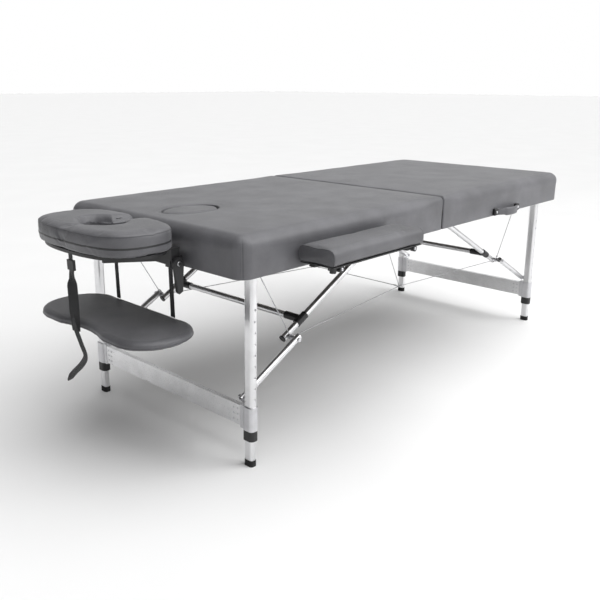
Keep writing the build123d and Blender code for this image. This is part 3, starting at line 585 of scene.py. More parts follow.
def stitches(name, path, normals, pitch=5.0, length=3.4, radius=0.55):
    """A row of thread stitches along a path that lies on a surface."""
    points, faces = [], []
    carried = 0.0
    for k in range(len(path) - 1):
        step = (path[k + 1] - path[k]).length / MM
        carried += step
        if carried < pitch:
            continue
        carried -= pitch
        ahead = (path[k + 1] - path[k]).normalized()
        up = normals[k]
        aside = ahead.cross(up).normalized()
        ends = (-length / 2, -length / 3, length / 3, length / 2)
        sizes = (0.25, 1.0, 1.0, 0.25)
        start = len(points)
        for where, size in zip(ends, sizes):
            centre = path[k] + ahead * where * MM - up * (0.3 * (1 - size)) * MM
            for s in range(6):
                angle = 2 * pi * s / 6
                arm = aside * cos(angle) + up * sin(angle) * 0.8
                points.append(centre + arm * radius * size * MM)
        for ring in range(3):
            for s in range(6):
                a, b = start + ring * 6, start + ring * 6 + 6
                after = (s + 1) % 6
                faces.append((a + s, a + after, b + after, b + s))
        faces.append(tuple(start + 5 - s for s in range(6)))
        faces.append(tuple(start + 18 + s for s in range(6)))
    return recalculate(new_piece(name, points, faces, thread_material))


def ribbon(name, path, across, thickness, material, rounding=0.5):
    """A flat strap along a path; across is the half width vector at each point, in metres."""
    rings, lengths, travelled = [], [], 0.0
    for k, point in enumerate(path):
        ahead = (path[min(k + 1, len(path) - 1)] - path[max(k - 1, 0)]).normalized()
        side_way = across[k]
        up = ahead.cross(side_way).normalized() * thickness / 2 * MM
        edge = side_way * (1 - rounding * thickness * MM / max(side_way.length, 1e-6))
        rings.append([
            point - edge + up, point + edge + up, point + side_way + up * 0.2, point + side_way - up * 0.2,
            point + edge - up, point - edge - up, point - side_way - up * 0.2, point - side_way + up * 0.2,
        ])
        if k:
            travelled += (point - path[k - 1]).length / MM
        lengths.append(travelled)
    piece = loft(name, rings, material, smooth=False)
    widths = [0, 20, 21, 21, 20, 0, -1, -1]
    layer = piece.data.uv_layers.new(name="weave")
    for polygon in piece.data.polygons:
        for loop in polygon.loop_indices:
            vertex = piece.data.loops[loop].vertex_index
            layer.data[loop].uv = (widths[vertex % 8], lengths[vertex // 8])
    return piece


def lathe(name, profile, centre, axis, material, sides=28):
    """Turns (radius, height) pairs round an axis; heights run along it from the centre."""
    axis = Vector(axis).normalized()
    first = axis.orthogonal().normalized()
    second = axis.cross(first)
    rings = []
    for radius, height in profile:
        angles = (2 * pi * s / sides for s in range(sides))
        rings.append([
            centre + axis * height * MM + (first * cos(a) + second * sin(a)) * max(radius, 0.02) * MM
            for a in angles
        ])
    return loft(name, rings, material)


def screw(name, centre, axis, radius):
    """A pan head with a socket in it."""
    profile = (
        (radius, 0), (radius, 0.6), (radius * 0.93, 1.3), (radius * 0.7, 2.0), (radius * 0.48, 2.2),
        (radius * 0.42, 2.1), (radius * 0.4, 0.9), (0, 0.8),
    )
    return lathe(name, profile, centre, axis, steel)


# ---- panel upholstery -------------------------------------------------------------------------
SEAM_SIDE_UPPER, SEAM_SIDE_LOWER = 0.7, 1.9
SEAM_RADIUS, END_RADIUS = 15.0, 32.0
SEAM_EASE = 110.0            # the rim's radius shrinks over this distance from the seam
PLAN_CORNER, SEAM_CORNER = 39.0, 7.0
CROWN, CROWN_REACH = 3.5, 45.0
HEM_RISE = 4.6               # the hem is cut higher beside the seam, for the hinge leaves
BULGE = 1.1                  # how far the foam swells the sides
GROOVE, GROOVE_WIDTH = 1.3, 2.2
RIM_STEPS = 9
LIP = 6.0                    # rounding of the face hole's edge


def outline_frame(corner_steps=34, side_steps=120, end_steps=110):
    """Places round a panel as (fx, fy, angle, R): straights and corners, anticlockwise.
    fx and fy run from -1 (seam, near side) to 1 (end, far side)."""
    places = []

    def straight(start, end, steps, angle, r_start, r_end):
        for k in range(steps):
            f = k / steps
            ease = (1 - cos(pi * f)) / 2 * 0.5 + f * 0.5
            fx = start[0] + (end[0] - start[0]) * ease
            fy = start[1] + (end[1] - start[1]) * ease
            places.append((fx, fy, angle, r_start + (r_end - r_start) * ease))

    def corner(fx, fy, start, radius):
        for k in range(corner_steps):
            places.append((fx, fy, start + pi / 2 * k / corner_steps, radius))

    corner(1, -1, -pi / 2, PLAN_CORNER)
    straight((1, -1), (1, 1), end_steps, 0, PLAN_CORNER, PLAN_CORNER)
    corner(1, 1, 0, PLAN_CORNER)
    straight((1, 1), (-1, 1), side_steps, pi / 2, PLAN_CORNER, SEAM_CORNER)
    corner(-1, 1, pi / 2, SEAM_CORNER)
    straight((-1, 1), (-1, -1), end_steps, pi, SEAM_CORNER, SEAM_CORNER)
    corner(-1, -1, pi, SEAM_CORNER)
    straight((-1, -1), (1, -1), side_steps, -pi / 2, SEAM_CORNER, PLAN_CORNER)
    return np.array(places)


def panel_ring(places, inset, seam_start):
    """Out and y of the panel's outline moved in by inset (one per place)."""
    fx, fy, angle, radius = places.T
    left = np.maximum(0.0, radius - inset)
    middle, half_x = (END + seam_start) / 2, (END - seam_start) / 2
    x = middle + (half_x - inset - left) * fx + left * np.cos(angle)
    y = (HALF_WIDTH - inset - left) * fy + left * np.sin(angle)
    return x, y


def groove(places, depth, width):
    """How deep the corner seams press into the cover, at the middle of each outer corner."""
    fx, fy, angle, radius = places.T
    away = np.full(len(places), 99.0)
    for sign in (-1, 1):
        here = (fx == 1) & (fy == sign) & (radius == PLAN_CORNER)
        turned = np.abs(angle - sign * pi / 4) * PLAN_CORNER
        away = np.where(here, np.minimum(away, turned), away)
    return depth * np.exp(-((away / width) ** 2))


def make_panel_cover(side):
    """The cover of a section: hem under the rails, straight sides, rounded rim, soft crown."""
    places = outline_frame()
    count = len(places)
    seam_share = np.clip(-np.cos(places[:, 2]), 0, 1) ** 2
    outs = panel_ring(places, 0.0, SEAM_SIDE_UPPER)[0]
    ease = eased(np.clip((outs - 2 * SEAM_CORNER) / SEAM_EASE, 0, 1))
    rim = SEAM_RADIUS + (END_RADIUS - SEAM_RADIUS) * ease
    rings = []

    def add(inset, height, seam_start=SEAM_SIDE_UPPER):
        x, y = panel_ring(places, np.broadcast_to(inset, count), seam_start)
        z = np.broadcast_to(height, count).copy()
        rings.append(np.stack([x, y, z], 1))

    hem_z = HEM - 0.8
    lower = SEAM_SIDE_LOWER
    pressed = groove(places, GROOVE, GROOVE_WIDTH)
    rise = np.where(seam_share > 0.5, HEM_RISE, 0.0)
    add(9.0, hem_z + rise, lower)
    add(3.0, hem_z + rise, lower)
    add(0.8, hem_z + 0.1 + rise, lower)
    add(0.0, HEM + 0.6 + rise, lower)
    for height in np.linspace(HEM + 6, DECK_TOP - 3, 7):
        add(pressed, height + rise * (DECK_TOP - height) / 60, lower)
    edge_z = TOP - CROWN
    for f in np.linspace(0.12, 1.0, 7):
        bulge = BULGE * sin(pi * min(1.0, f * 0.62)) * ease
        add(pressed - bulge, DECK_TOP + (edge_z - rim - DECK_TOP) * f)
    for k in range(1, RIM_STEPS + 1):
        a = pi / 2 * k / RIM_STEPS
        fade = max(0.0, 1 - k / (RIM_STEPS * 0.75))
        bulge = BULGE * sin(pi * 0.62) * ease * cos(a)
        inset = rim * (1 - cos(a)) + pressed * fade - bulge
        add(inset, edge_z - rim * (1 - sin(a)))
    last = rings[-1]
    if side < 0:
        centre, half = np.array([FACE_OUT, 0.0]), FACE_HALF
    else:
        centre, half = np.array([END / 2, 0.0]), (END * 0.18, HALF_WIDTH * 0.2)
    direction = last[:, :2] - centre
    turn = np.arctan2(direction[:, 1] / half[1], direction[:, 0] / half[0])
    hole = np.stack([centre[0] + half[0] * np.cos(turn), centre[1] + half[1] * np.sin(turn)], 1)
    outward_hole = (hole - centre) / np.linalg.norm(hole - centre, axis=1)[:, None]
    start_hole = hole + outward_hole * (LIP if side < 0 else 0.0)
    shares = 1 - (1 - np.linspace(0, 1, 30)[1:]) ** 1.35
    for share in shares:
        flat = last[:, :2] * (1 - share) + start_hole * share
        rings.append(np.column_stack([flat, np.full(count, edge_z)]))
    if side < 0:
        for a in (0.3, 0.6, 0.85, 1.0):
            flat = hole + outward_hole * LIP * (1 - sin(pi / 2 * a))
            z = np.full(count, TOP - LIP * (1 - cos(pi / 2 * a)))
            rings.append(np.column_stack([flat, z]))
        for z in (TOP - 16, TOP - 34, DECK_TOP + 1):
            rings.append(np.column_stack([hole, np.full(count, z)]))
    else:
        for share in (0.8, 0.55, 0.3, 0.1):
            flat = centre + (hole - centre) * share
            rings.append(np.column_stack([flat, np.full(count, edge_z)]))
    crown_from = 4 + 7 + 7 + RIM_STEPS
    crown_to = crown_from + len(shares) if side < 0 else len(rings)
    for ring in rings[crown_from - 3:crown_to]:
        gaps = (END - ring[:, 0], ring[:, 0] - SEAM_SIDE_UPPER, HALF_WIDTH - np.abs(ring[:, 1]))
        gaps = [np.maximum(0.0, gap) for gap in gaps]
        lift = CROWN * np.prod([1 - np.exp(-((gap / CROWN_REACH) ** 1.5)) for gap in gaps], axis=0)
        edge = np.prod([gap / (gap + 30) for gap in gaps], axis=0) * 90
        wave = np.array([
            noise.noise(Vector((side * x, y, 0)) / 95)
            + 0.5 * noise.noise(Vector((side * x, y, 7)) / 38)
            for x, y, _ in ring
        ])
        ring[:, 2] += lift + 0.55 * wave * np.clip(edge / 40, 0, 1)
        if side < 0:
            away = np.hypot((ring[:, 0] - centre[0]) / half[0], ring[:, 1] / half[1]) - 1
            ring[:, 2] -= 2.2 * np.exp(-((away / 0.12) ** 2))
            ring[:, 2] = np.minimum(ring[:, 2], TOP + 0.3)
    name = f"{SECTION[side]}_upholstery"
    points = [[place(side, *p) for p in ring] for ring in rings]
    cover = loft(name, points, cover_material, caps=(False, side > 0))
    merge_doubles(cover)
    thick = cover.modifiers.new("skin", "SOLIDIFY")
    thick.thickness = 0.7 * MM
    thick.offset = -1
    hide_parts(f"{SECTION[side]}_cushion")
    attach(cover, f"{SECTION[side]}_section")
    tree = surface_of(cover)
    rows = []
    for sign in (-1, 1):
        for offset in (-3.2, 3.2):
            turned = sign * pi / 4 + offset / PLAN_CORNER
            heights = np.linspace(HEM + 4, TOP - 16, 160)
            x = END - PLAN_CORNER + PLAN_CORNER * cos(turned)
            y = sign * (HALF_WIDTH - PLAN_CORNER) + PLAN_CORNER * sin(turned)
            path, normals = snapped(tree, [place(side, x, y, z) for z in heights], 0.1)
            rows.append(stitches("row", path, normals))
    seam = join(rows, f"{SECTION[side]}_corner_stitches")
    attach(seam, f"{SECTION[side]}_section")
    return cover


# ---- face hole plug ---------------------------------------------------------------------------
def make_face_plug():
    half = (FACE_HALF[0] - FACE_GAP - 1.5, FACE_HALF[1] - FACE_GAP - 1.5)
    angles = np.linspace(0, 2 * pi, 160, endpoint=False)
    line = np.stack([half[0] * np.cos(angles), half[1] * np.sin(angles)], 1)
    levels = rounded_levels(plug_low.z + 1, TOP - 2, 4, 8)
    middle = -FACE_OUT

    def to_world(u, v, height):
        return place(1, middle + u, v, height)

    plug = puff(remeshed(slab("face_plug_pad", line, levels, to_world, pad_material), 5), 2.5)
    co = read(plug)
    local = np.stack([(co[:, 0] - SEAM_X) / MM - middle, co[:, 1] / MM], 1)
    ratio = np.hypot(local[:, 0] / (half[0] + 1.2), local[:, 1] / (half[1] + 1.2))
    shrink = np.where(ratio > 1, 1 / ratio, 1)[:, None]
    local *= shrink
    co[:, 0] = SEAM_X + (middle + local[:, 0]) * MM
    co[:, 1] = local[:, 1] * MM
    co[:, 2] = np.minimum(co[:, 2], (TOP - 0.2) * MM)
    write(plug, co)
    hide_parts("face_plug")
    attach(plug, "face_plug")


# ---- armrests ---------------------------------------------------------------------------------
ARM_ROD_OUT, ARM_ROD_Z = (352.0, 688.0), 566.0


def make_armrest(y_side):
    name = f"{NEAR_FAR[y_side]}_armrest"
    low, high = node_box(f"{name}_pad")
    swell = 2.5
    y_low, y_high = low.y + swell, high.y - swell
    z_low, z_high = low.z + 0.4, high.z - swell
    rectangle = []
    radius_top, radius_low = 15.0, 6.0
    for cy, cz, r, start in (
        (y_high - radius_low, z_low + radius_low, radius_low, -pi / 2),
        (y_high - radius_top, z_high - radius_top, radius_top, 0),
        (y_low + radius_top, z_high - radius_top, radius_top, pi / 2),
        (y_low + radius_low, z_low + radius_low, radius_low, pi),
    ):
        rectangle += arc(cy, cz, r, start, 8)
    line = smooth_closed(rectangle, 3, 3)
    x_low, x_high = low.x + 2, high.x - 2
    levels = rounded_levels(x_low, x_high, 2.5, 2.5, 3)

    def to_world(u, v, height):
        return place(1, height, u, v)

    pad = puff(remeshed(slab(f"{name}_pad_cover", line, levels, to_world, pad_material), 5), 4)
    kept_within(pad, (low.x, low.y - 0.2, low.z + 0.2), (high.x, high.y + 1.5, high.z + 1.5))
    tree = surface_of(pad)
    beads = []
    normals = outward(line)
    for x in (x_low + 3.5, x_high - 3.5):
        route = [place(1, x, u + n[0] * 3, v + n[1] * 3) for (u, v), n in zip(line, normals)]
        path, _ = snapped(tree, route, 0.0)
        path = [p for k, p in enumerate(path) if k % 2 == 0]
        beads.append(tube("bead", path + path[:1], 1.1 * MM, piping_material, 8))
    bead = join(beads, f"{name}_end_piping")
    for piece in (pad, bead):
        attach(piece, name)
    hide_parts(f"{name}_pad")
    screws = []
    frame_low, frame_high = node_box(f"{name}_frame")
    tip = frame_high.y if y_side > 0 else frame_low.y
    for out in ARM_ROD_OUT:
        centre = place(-1, out, tip, ARM_ROD_Z)
        screws.append(screw("cap", centre, (0, y_side, 0), 4.5))
    bolts = join(screws, f"{name}_rod_screws")
    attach(bolts, name)


# ---- face cradle ------------------------------------------------------------------------------
CRADLE_SQUARENESS = 2.9
CRADLE_HOLE = (52.0, 72.0)
MOUTH = 28.0


def cradle_line():
    """Horseshoe outline in out (negative towards the head) and y, anticlockwise."""
    x_far, x_near = cradle_low.x + 0.5, cradle_high.x - 1
    half_y = cradle_high.y - 0.5
    middle, half_x = (x_far + x_near) / 2, (x_near - x_far) / 2
    points = []
    cut = asin(MOUTH / CRADLE_HOLE[1])
    for k in range(61):
        a = -cut - (2 * pi - 2 * cut) * k / 60
        points.append((middle + CRADLE_HOLE[0] * cos(a), CRADLE_HOLE[1] * sin(a)))
    power = 2 / CRADLE_SQUARENESS
    edge = asin((MOUTH / half_y) ** (1 / power))
    for k in range(181):
        a = edge + (2 * pi - 2 * edge) * k / 180
        u, v = cos(a), sin(a)
        across = half_y * abs(v) ** power * np.sign(v)
        points.append((middle + half_x * abs(u) ** power * np.sign(u), across))
    return smooth_closed(points, 3, 5), middle


def make_cradle_cushion():
    line, middle = cradle_line()
    levels = rounded_levels(cradle_low.z + 0.3, cradle_high.z - 2.5, 4, 11)

    raw = slab("cradle_pad", line, levels, lying, pad_material)
    cushion = puff(remeshed(raw, 4.5), 5)
    co = read(cushion)
    x, y, z = (co[:, 0] - SEAM_X) / MM, co[:, 1] / MM, co[:, 2] / MM
    ratio = np.hypot((x - middle) / CRADLE_HOLE[0], y / CRADLE_HOLE[1])
    roll = 22.0
    from_hole = (ratio - 1) * sum(CRADLE_HOLE) / 2
    in_mouth = (x > middle) & (np.abs(y) < MOUTH + roll)
    from_hole = np.where(in_mouth, np.minimum(from_hole, np.abs(y) - MOUTH), from_hole)
    depth = np.clip(1 - from_hole / roll, 0, 1)
    drop = roll * (1 - np.sqrt(1 - np.minimum(depth, 0.995) ** 2)) * 0.8
    upper = np.clip((z - cradle_low.z - 18) / (cradle_high.z - cradle_low.z - 18), 0, 1)
    co[:, 2] -= drop * upper * MM
    write(cushion, co)
    kept_within(
        cushion,
        (cradle_low.x - 2, cradle_low.y - 2, cradle_low.z + 0.15),
        (cradle_high.x + 0.5, cradle_high.y + 2, cradle_high.z + 2),
    )
    tree = surface_of(cushion)
    normals = outward(line)
    extras = []
    outer = [
        k for k in range(len(line))
        if hypot((line[k][0] - middle) / CRADLE_HOLE[0], line[k][1] / CRADLE_HOLE[1]) > 1.25
        and line[k][0] < cradle_high.x - 42
    ]
    rim_z = cradle_high.z - 4
    route = [place(1, *(line[k] + normals[k] * 2), rim_z) for k in outer]
    top_path, _ = snapped(tree, route, -0.2)
    extras.append(tube("rim", top_path[::2], 1.5 * MM, piping_material, 8))
    zip_z = cradle_low.z + 24
    route = [place(1, *(line[k] + normals[k] * 4), zip_z) for k in outer]
    zip_path, zip_normals = snapped(tree, route, 0.1)
    across = [n.cross(Vector((0, 0, 1))).cross(n).normalized() * 2.6 * MM for n in zip_normals]
    extras.append(ribbon("zip", zip_path[::2], across[::2], 0.9, black_plastic))
    extras.append(stitches("teeth", zip_path, zip_normals, 3.2, 1.6, 0.8))
    for y_side in (-1, 1):
        near = [k for k in outer if line[k][1] * y_side > 0]
        k = max(near, key=lambda n: line[n][0])
        for shift in (-2.2, 2.2):
            heights = np.linspace(cradle_low.z + 4, rim_z, 90)
            base = line[k] + normals[k] * 4
            along = np.array([-normals[k][1], normals[k][0]]) * shift
            path, ns = snapped(tree, [place(1, *(base + along), h) for h in heights], 0.15)
            extras.append(stitches("row", path, ns, 4.2, 3.0, 0.5))
    trim = join(extras, "cradle_pad_trim")
    for piece in (cushion, trim):
        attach(piece, "cradle_head")
    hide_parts("cradle_cushion")


def make_cradle_fittings():
    """The screw of the tilt pivot, on the lever's outer face."""
    pivot = joints["cradle_tilt"]["pos_m"]
    face_y = (node_box("cradle_lever")[0].y - 0.2) * MM
    nut = screw("cradle_pivot_screw", Vector((pivot[0], face_y, pivot[2])), (0, -1, 0), 6.5)
    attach(nut, "cradle_lever")


# ---- arm shelf and its straps -----------------------------------------------------------------
BAY_DEPTH, BAY_RADIUS = 18.0, 300.0


def make_arm_shelf():
    x_far, x_near = shelf_low.x + 2.5, shelf_high.x - 2.5
    half_y = shelf_high.y - 2.5
    corner = 0.47 * (x_near - x_far)
    points = []
    points += arc(x_near - corner, half_y - corner, corner, 0, 24)
    points += arc(x_far + corner, half_y - corner, corner, pi / 2, 24)
    depth = BAY_DEPTH + 1.5
    chord = sqrt(BAY_RADIUS**2 - (BAY_RADIUS - depth) ** 2)
    for k in range(25):
        y = chord * (1 - k / 12)
        points.append((x_far + depth - BAY_RADIUS + sqrt(BAY_RADIUS**2 - y**2), y))
    points += arc(x_far + corner, -half_y + corner, corner, pi, 24)
    points += arc(x_near - corner, -half_y + corner, corner, 3 * pi / 2, 24)
    line = smooth_closed(points, 4, 10)
    levels = rounded_levels(shelf_low.z + 0.5, shelf_high.z - 2, 4, 9)

    shelf = puff(remeshed(slab("arm_shelf_pad", line, levels, lying, pad_material), 5), 3.5)
    kept_within(
        shelf,
        (shelf_low.x - 1, shelf_low.y - 1, shelf_low.z),
        (shelf_high.x + 1, shelf_high.y + 1, shelf_high.z + 0.1),
    )
    tree = surface_of(shelf)
    normals = outward(line)
    route = [place(1, *(p + n * 4), shelf_low.z + 7) for p, n in zip(line, normals)]
    path, _ = snapped(tree, route, 0)
    bead = tube("arm_shelf_piping", (path + path[:1])[::2] + [path[0]], 1.3 * MM, piping_material, 8)
    for piece in (shelf, bead):
        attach(piece, "arm_shelf")
    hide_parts("arm_shelf")


STRAP_OUTER, STRAP_NEAR, STRAP_FAR = (1150.0, 15.0), (938.0, -134.0), (938.0, 134.0)
STRAP_HALF, STRAP_STEPS = 10.0, 40
TAIL_HALF, TAIL_STEPS = 8.5, 64
TAIL = (
    (1146.5, 19, 560), (1152, 24, 500), (1156, 26, 440), (1157, 14, 395), (1158, -14, 350),
    (1157, -28, 318), (1156, 0, 285), (1155, 45, 250), (1155, 87, 212),
)


def make_straps():
    """Three flat webbing straps; the outer one is twisted a little and keeps its loose tail."""
    top = node_box("shelf_straps")[1].z
    on_top = shelf_high.z + 0.3
    made = []
    for name, out, y, bottom in (
        ("outer", *STRAP_OUTER, shelf_low.z + 2), ("near", *STRAP_NEAR, on_top), ("far", *STRAP_FAR, on_top),
    ):
        path, across = [], []
        for k in range(STRAP_STEPS + 1):
            f = k / STRAP_STEPS
            free, twist = 0.0, 0.05 * sin(pi * f)
            if name == "outer":
                free = eased(min(1.0, max(0.0, (f - 0.28) / 0.15)))
                twist = -0.72 * free * (1 - 0.6 * f**4)
            path.append(place(-1, out + 3.0 * free, y, top + (bottom - top) * f))
            across.append(Vector((sin(twist), cos(twist), 0)) * (STRAP_HALF + 4.0 * free) * MM)
        strap = ribbon(f"shelf_strap_{name}", path, across, 1.5, webbing)
        made.append((strap, top - bottom))
    path, across = [], []
    last = len(TAIL) - 1
    for k in range(TAIL_STEPS + 1):
        t = k / TAIL_STEPS * last
        i = min(int(t), last - 1)
        f = t - i
        p0, p1, p2, p3 = (np.array(TAIL[min(max(n, 0), last)]) for n in (i - 1, i, i + 1, i + 2))
        p = 0.5 * (
            2 * p1 + (p2 - p0) * f + (2 * p0 - 5 * p1 + 4 * p2 - p3) * f**2
            + (3 * p1 - p0 - 3 * p2 + p3) * f**3
        )
        path.append(place(-1, *p))
    for k in range(TAIL_STEPS + 1):
        ahead = (path[min(k + 1, TAIL_STEPS)] - path[max(k - 1, 0)]).normalized()
        lean = 0.25 + 0.5 * sin(3 * k / TAIL_STEPS)
        sideways = Vector((-0.35 + 0.3 * sin(lean), 0.8, 0)).normalized()
        sideways = (sideways - ahead * sideways.dot(ahead)).normalized()
        taper = min(1.0, (TAIL_STEPS + 0.7 - k) / 5)
        across.append(sideways * TAIL_HALF * taper * MM)
    tail = ribbon("shelf_strap_tail", path, across, 1.3, webbing)
    made.append((tail, top - TAIL[-1][2]))
    for strap, reach in made:
        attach(strap, "cradle_head")
        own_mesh(strap)
    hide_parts("shelf_straps")


# ---- handles ----------------------------------------------------------------------------------
def make_handle(side):
    """A padded carry strap bowed out between two black mounts, each with a steel screw."""
    low, high = node_box(f"{SECTION[side]}_handle")
    middle, z = (low.x + high.x) / 2, (low.z + high.z) / 2
    wall = high.y
    half_span = (high.x - low.x) / 2 - 19
    bow = high.y - low.y - 6
    rings = []
    steps = 46
    for k in range(steps + 1):
        f = -1 + 2 * k / steps
        x = middle + f * half_span
        bow_here = 6 + (bow - 6) * (1 - f**2) ** 0.8
        pad = eased(1 - min(1, max(0, (abs(f) - 0.5) / 0.16)))
        half_height = 11.5 + 3.5 * pad
        half_thick = 1.2 + 3.6 * pad
        slope = -2 * f * (bow - 6) / half_span * 0.8
        normal = Vector((slope, -1, 0)).normalized()
        centre = Vector((x, wall - bow_here, z))
        ring = []
        for s in range(20):
            a = 2 * pi * s / 20
            c, t = cos(a), sin(a)
            wide = half_height * abs(t) ** 0.6 * (1 if t > 0 else -1)
            deep = half_thick * abs(c) ** 0.8 * (1 if c > 0 else -1)
            p = centre + normal * deep + Vector((0, 0, wide))
            ring.append(place(1, p.x, p.y, p.z))
        rings.append(ring)
    handle = loft(f"{SECTION[side]}_handle_pad", rings, pad_material)
    pieces, screws = [], []
    for end in (-1, 1):
        x = middle + end * (half_span + 6)
        outline = [
            (x + 12.5 * np.sign(cos(a)) * abs(cos(a)) ** 0.35,
             z + 13.0 * np.sign(sin(a)) * abs(sin(a)) ** 0.35)
            for a in (2 * pi * k / 40 for k in range(40))
        ]
        rings = []
        for depth, inset in ((0.1, 0), (8, 0), (10.2, 0.8), (11.4, 2.4), (11.8, 4.5)):
            rings.append([
                place(1, x + (u - x) * (1 - inset / 12.5), wall - depth, z + (v - z) * (1 - inset / 13))
                for u, v in outline
            ])
        pieces.append(loft("mount", rings, black_plastic))
        screws.append(screw("handle_screw", place(1, x, wall - 11.6, z), (0, -1, 0), 5.2))
    mounts = join(pieces, f"{SECTION[side]}_handle_mounts")
    bolts = join(screws, f"{SECTION[side]}_handle_screws")
    for piece in (handle, mounts, bolts):
        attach(piece, f"{SECTION[side]}_section")
    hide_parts(f"{SECTION[side]}_handle")


# ---- stay cables ------------------------------------------------------------------------------
NEAR_RING = (0.0, -245.0, 320.0)
FAR_RING = (0.0, 165.0, 322.0)
RING_RADIUS = 8.0
CABLE_DIAMETER = 2.6 * MM
ROUND = [2 * pi * k / 32 for k in range(33)]
BRACE_LANE = {-1: 316.0, 1: 288.0}
KNEE_SPACER = 7.0
CABLE_DECK_OUT = 823.0


def knee_at(side, y_side):
    """The middle of a knee bolt: its out from the bolts, its height from the line of the brace."""
    low, high = node_box(f"{SECTION[side]}_brace_bolts")
    out = min(abs(low.x), abs(high.x)) + KNEE_SPACER
    ends = [joints[f"{SECTION[side]}_{part}_brace_fold"]["pos_m"] for part in ("upper", "lower")]
    (upper_out, upper_z), (foot_out, foot_z) = ((abs(p[0] - SEAM_X) / MM, p[2] / MM) for p in ends)
    share = (out - upper_out) / (foot_out - upper_out)
    return place(side, out, y_side * BRACE_LANE[side], upper_z + (foot_z - upper_z) * share)


def make_cable(name, start, end, start_gap, end_gap, section):
    """A taut wire rope with a crimped sleeve near each end."""
    direction = (end - start).normalized()
    first, last = start + direction * start_gap * MM, end - direction * end_gap * MM
    length = (last - first).length
    count = max(2, int(length / (14 * MM)))
    path = [first.lerp(last, k / count) for k in range(count + 1)]
    rope = tube(name, path, CABLE_DIAMETER / 2, rope_metal, 10)
    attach(rope, section)
    crimps = []
    for point, way in ((first, direction), (last, -direction)):
        centre = point + way * 9 * MM
        profile = ((1.6, -6), (2.5, -5.4), (2.7, 0), (2.5, 5.4), (1.6, 6))
        crimps.append(lathe("crimp", profile, centre, way, steel, 14))
    sleeves = join(crimps, f"{name}_crimps")
    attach(sleeves, section)
    for piece in (rope, sleeves):
        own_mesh(piece)
    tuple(first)
    return rope


def make_cables():
    near_ring, far_ring = place(1, *NEAR_RING), place(1, *FAR_RING)
    knee_gap, ring_gap = 8.5, RING_RADIUS + 0.4
    for side in (-1, 1):
        section = f"{SECTION[side]}_section"
        for y_side in (-1, 1):
            at = knee_at(side, y_side)
            deck = place(side, CABLE_DECK_OUT, at.y / MM, deck_low.z - 1)
            where = f"{SECTION[side]}_{NEAR_FAR[y_side]}"
            make_cable(f"{where}_deck_cable", deck, at, 0, knee_gap, section)
            ring = near_ring if y_side < 0 else far_ring
            make_cable(f"{where}_ring_cable", at, ring, knee_gap, ring_gap, section)
        if side > 0:
            start = knee_at(1, 1) + Vector((0, 9 * MM, 0))
            make_cable("foot_cross_cable", start, near_ring, 15, ring_gap, section)
            ends = ("ring_to_ring_cable", near_ring, far_ring, ring_gap, ring_gap, section)
            make_cable(*ends)
            for label, centre in (("near", near_ring), ("far", far_ring)):
                loop = [centre + Vector((cos(a), sin(a), 0)) * (RING_RADIUS - 1.6) * MM for a in ROUND]
                ring = tube(f"{label}_cable_ring", loop, 1.6 * MM, steel, 12)
                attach(ring, section)
                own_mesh(ring)
        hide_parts(f"{SECTION[side]}_cables")
        for y_side in (-1, 1):
            at = knee_at(side, y_side)
            loop = [at + Vector((cos(a), 0, sin(a))) * 8.3 * MM for a in ROUND]
            eye = tube(f"{SECTION[side]}_{NEAR_FAR[y_side]}_knee_eye", loop, 1.2 * MM, rope_metal, 10)
            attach(eye, f"{SECTION[side]}_lower_frame")


# ---- leg frame fittings -----------------------------------------------------------------------
LEG_LEAN = radians(1.5)
RIVET = ((3.2, 0), (3.1, 0.5), (2.3, 1.2), (1.1, 1.6), (0, 1.7))


def make_leg_fittings(side):
    """Rivets through the sleeves into the beam."""
    pivot = joints[f"{SECTION[side]}_leg_fold"]["pos_m"]
    down = Vector((side * sin(LEG_LEAN), 0, -cos(LEG_LEAN)))
    front = Vector((side * cos(LEG_LEAN), 0, sin(LEG_LEAN)))
    beam_high = node_box(f"{SECTION[side]}_beam")[1]
    rivets = []
    for y_side in (-1, 1):
        end = y_side * (beam_high.y - 11)
        for along in (0, 16):
            for depth in (413, 430, 447):
                for face in (-1, 1):
                    centre = Vector((pivot[0], (end - y_side * along) * MM, pivot[2])) + down * depth * MM
                    centre += front * face * 8.0 * MM
                    rivets.append(lathe("rivet", RIVET, centre, front * face, steel, 14))
    made = join(rivets, f"{SECTION[side]}_beam_rivets")
    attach(made, f"{SECTION[side]}_legs")


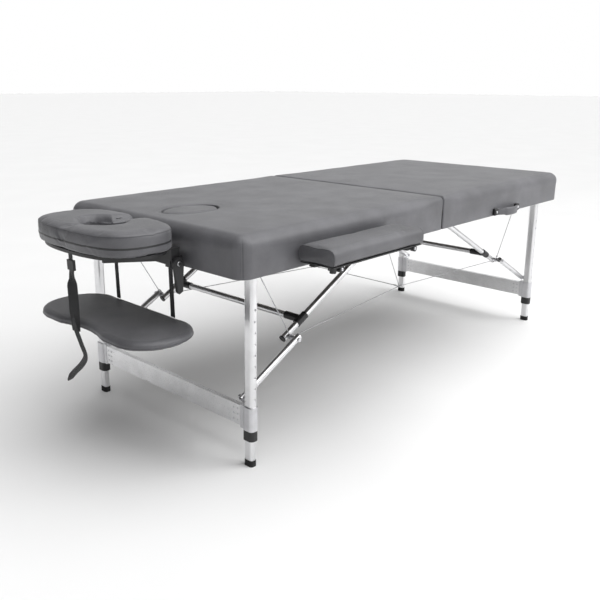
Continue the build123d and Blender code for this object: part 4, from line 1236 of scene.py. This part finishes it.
# ---- floor, light, camera ---------------------------------------------------------------------
def make_studio():
    size = 60.0
    floor_material, tree = new_material("floor")
    cloud = shader(tree, "TexNoise", {"Vector": coordinates(tree), "Scale": 2, "Detail": 2})
    tone = ramp(tree, cloud.outputs["Fac"], ((0.3, 0.85), (0.7, 0.87)))
    finish_material(tree, {"Base Color": tone, "Roughness": 0.9})
    corners = [(-size, -size, 0), (size, -size, 0), (size, size, 0), (-size, size, 0)]
    floor = new_piece("floor", corners, [(0, 1, 2, 3)], floor_material, smooth=False)

    world = bpy.data.worlds.new("studio")
    scene.world = world
    world.use_nodes = True
    tree = world.node_tree
    tree.nodes.clear()
    direction = shader(tree, "TexCoord").outputs["Generated"]
    across = shader(tree, "SeparateXYZ", {"Vector": direction})
    tilted = shader(tree, "Math", {0: across.outputs["Y"], 1: -0.45}, operation="MULTIPLY")
    turned = added(tree, across.outputs["X"], tilted.outputs[0])
    share = shader(tree, "MapRange", {"Value": turned, "From Min": -1.1, "From Max": 1.1})
    soft = ramp(tree, share.outputs["Result"], ((0.15, 0.12), (0.7, 0.95)))
    light = shader(tree, "Background", {"Color": soft, "Strength": 0.75})
    seen = shader(tree, "Background", {"Color": (1.0, 1.0, 1.0, 1), "Strength": 1.0})
    camera_ray = shader(tree, "LightPath").outputs["Is Camera Ray"]
    mixed = shader(tree, "MixShader", {0: camera_ray, 1: light.outputs[0], 2: seen.outputs[0]})
    output = shader(tree, "OutputWorld")
    tree.links.new(mixed.outputs[0], output.inputs["Surface"])


def area_light(name, location, target, size, power):
    data = bpy.data.lights.new(name, "AREA")
    data.shape = "RECTANGLE"
    data.size, data.size_y = size
    data.energy = power
    lamp = linked(name, data)
    lamp.location = location
    lamp.rotation_euler = (Vector(target) - Vector(location)).to_track_quat("-Z", "Y").to_euler()


def make_lights():
    area_light("key", (1.6, -3.0, 2.6), (0.1, 0, 0.45), (2.6, 2.0), 55)
    overhead = bpy.data.lights.new("overhead", "SUN")
    overhead.energy = 2.1
    overhead.angle = radians(70)
    lamp = linked("overhead", overhead)
    lamp.rotation_euler = (radians(14), radians(12), 0)


def make_camera():
    """Standing off the near head corner, looking along the table and slightly down."""
    data = bpy.data.cameras.new("camera")
    camera = linked("camera", data)
    data.sensor_width = 36.0
    data.lens = 42.38
    data.clip_end = 100
    yaw, pitch, roll = radians(42.86), radians(17.13), radians(0.22)
    ahead = Vector((cos(yaw) * cos(pitch), sin(yaw) * cos(pitch), -sin(pitch)))
    camera.location = place(1, -2073.2, -1673.3, 1033.0)
    camera.rotation_mode = "QUATERNION"
    turned = ahead.to_track_quat("-Z", "Y")
    camera.rotation_quaternion = turned @ Euler((0, 0, roll)).to_quaternion()
    scene.camera = camera


# ---- the table --------------------------------------------------------------------------------
dress_frame()
for side in (-1, 1):
    make_panel_cover(side)
    make_leg_fittings(side)
make_handle(1)
make_face_plug()
for y_side in (-1, 1):
    make_armrest(y_side)
make_cradle_cushion()
make_cradle_fittings()
make_arm_shelf()
make_straps()
make_cables()
make_studio()
make_lights()
make_camera()
scene.view_settings.view_transform = "Standard"
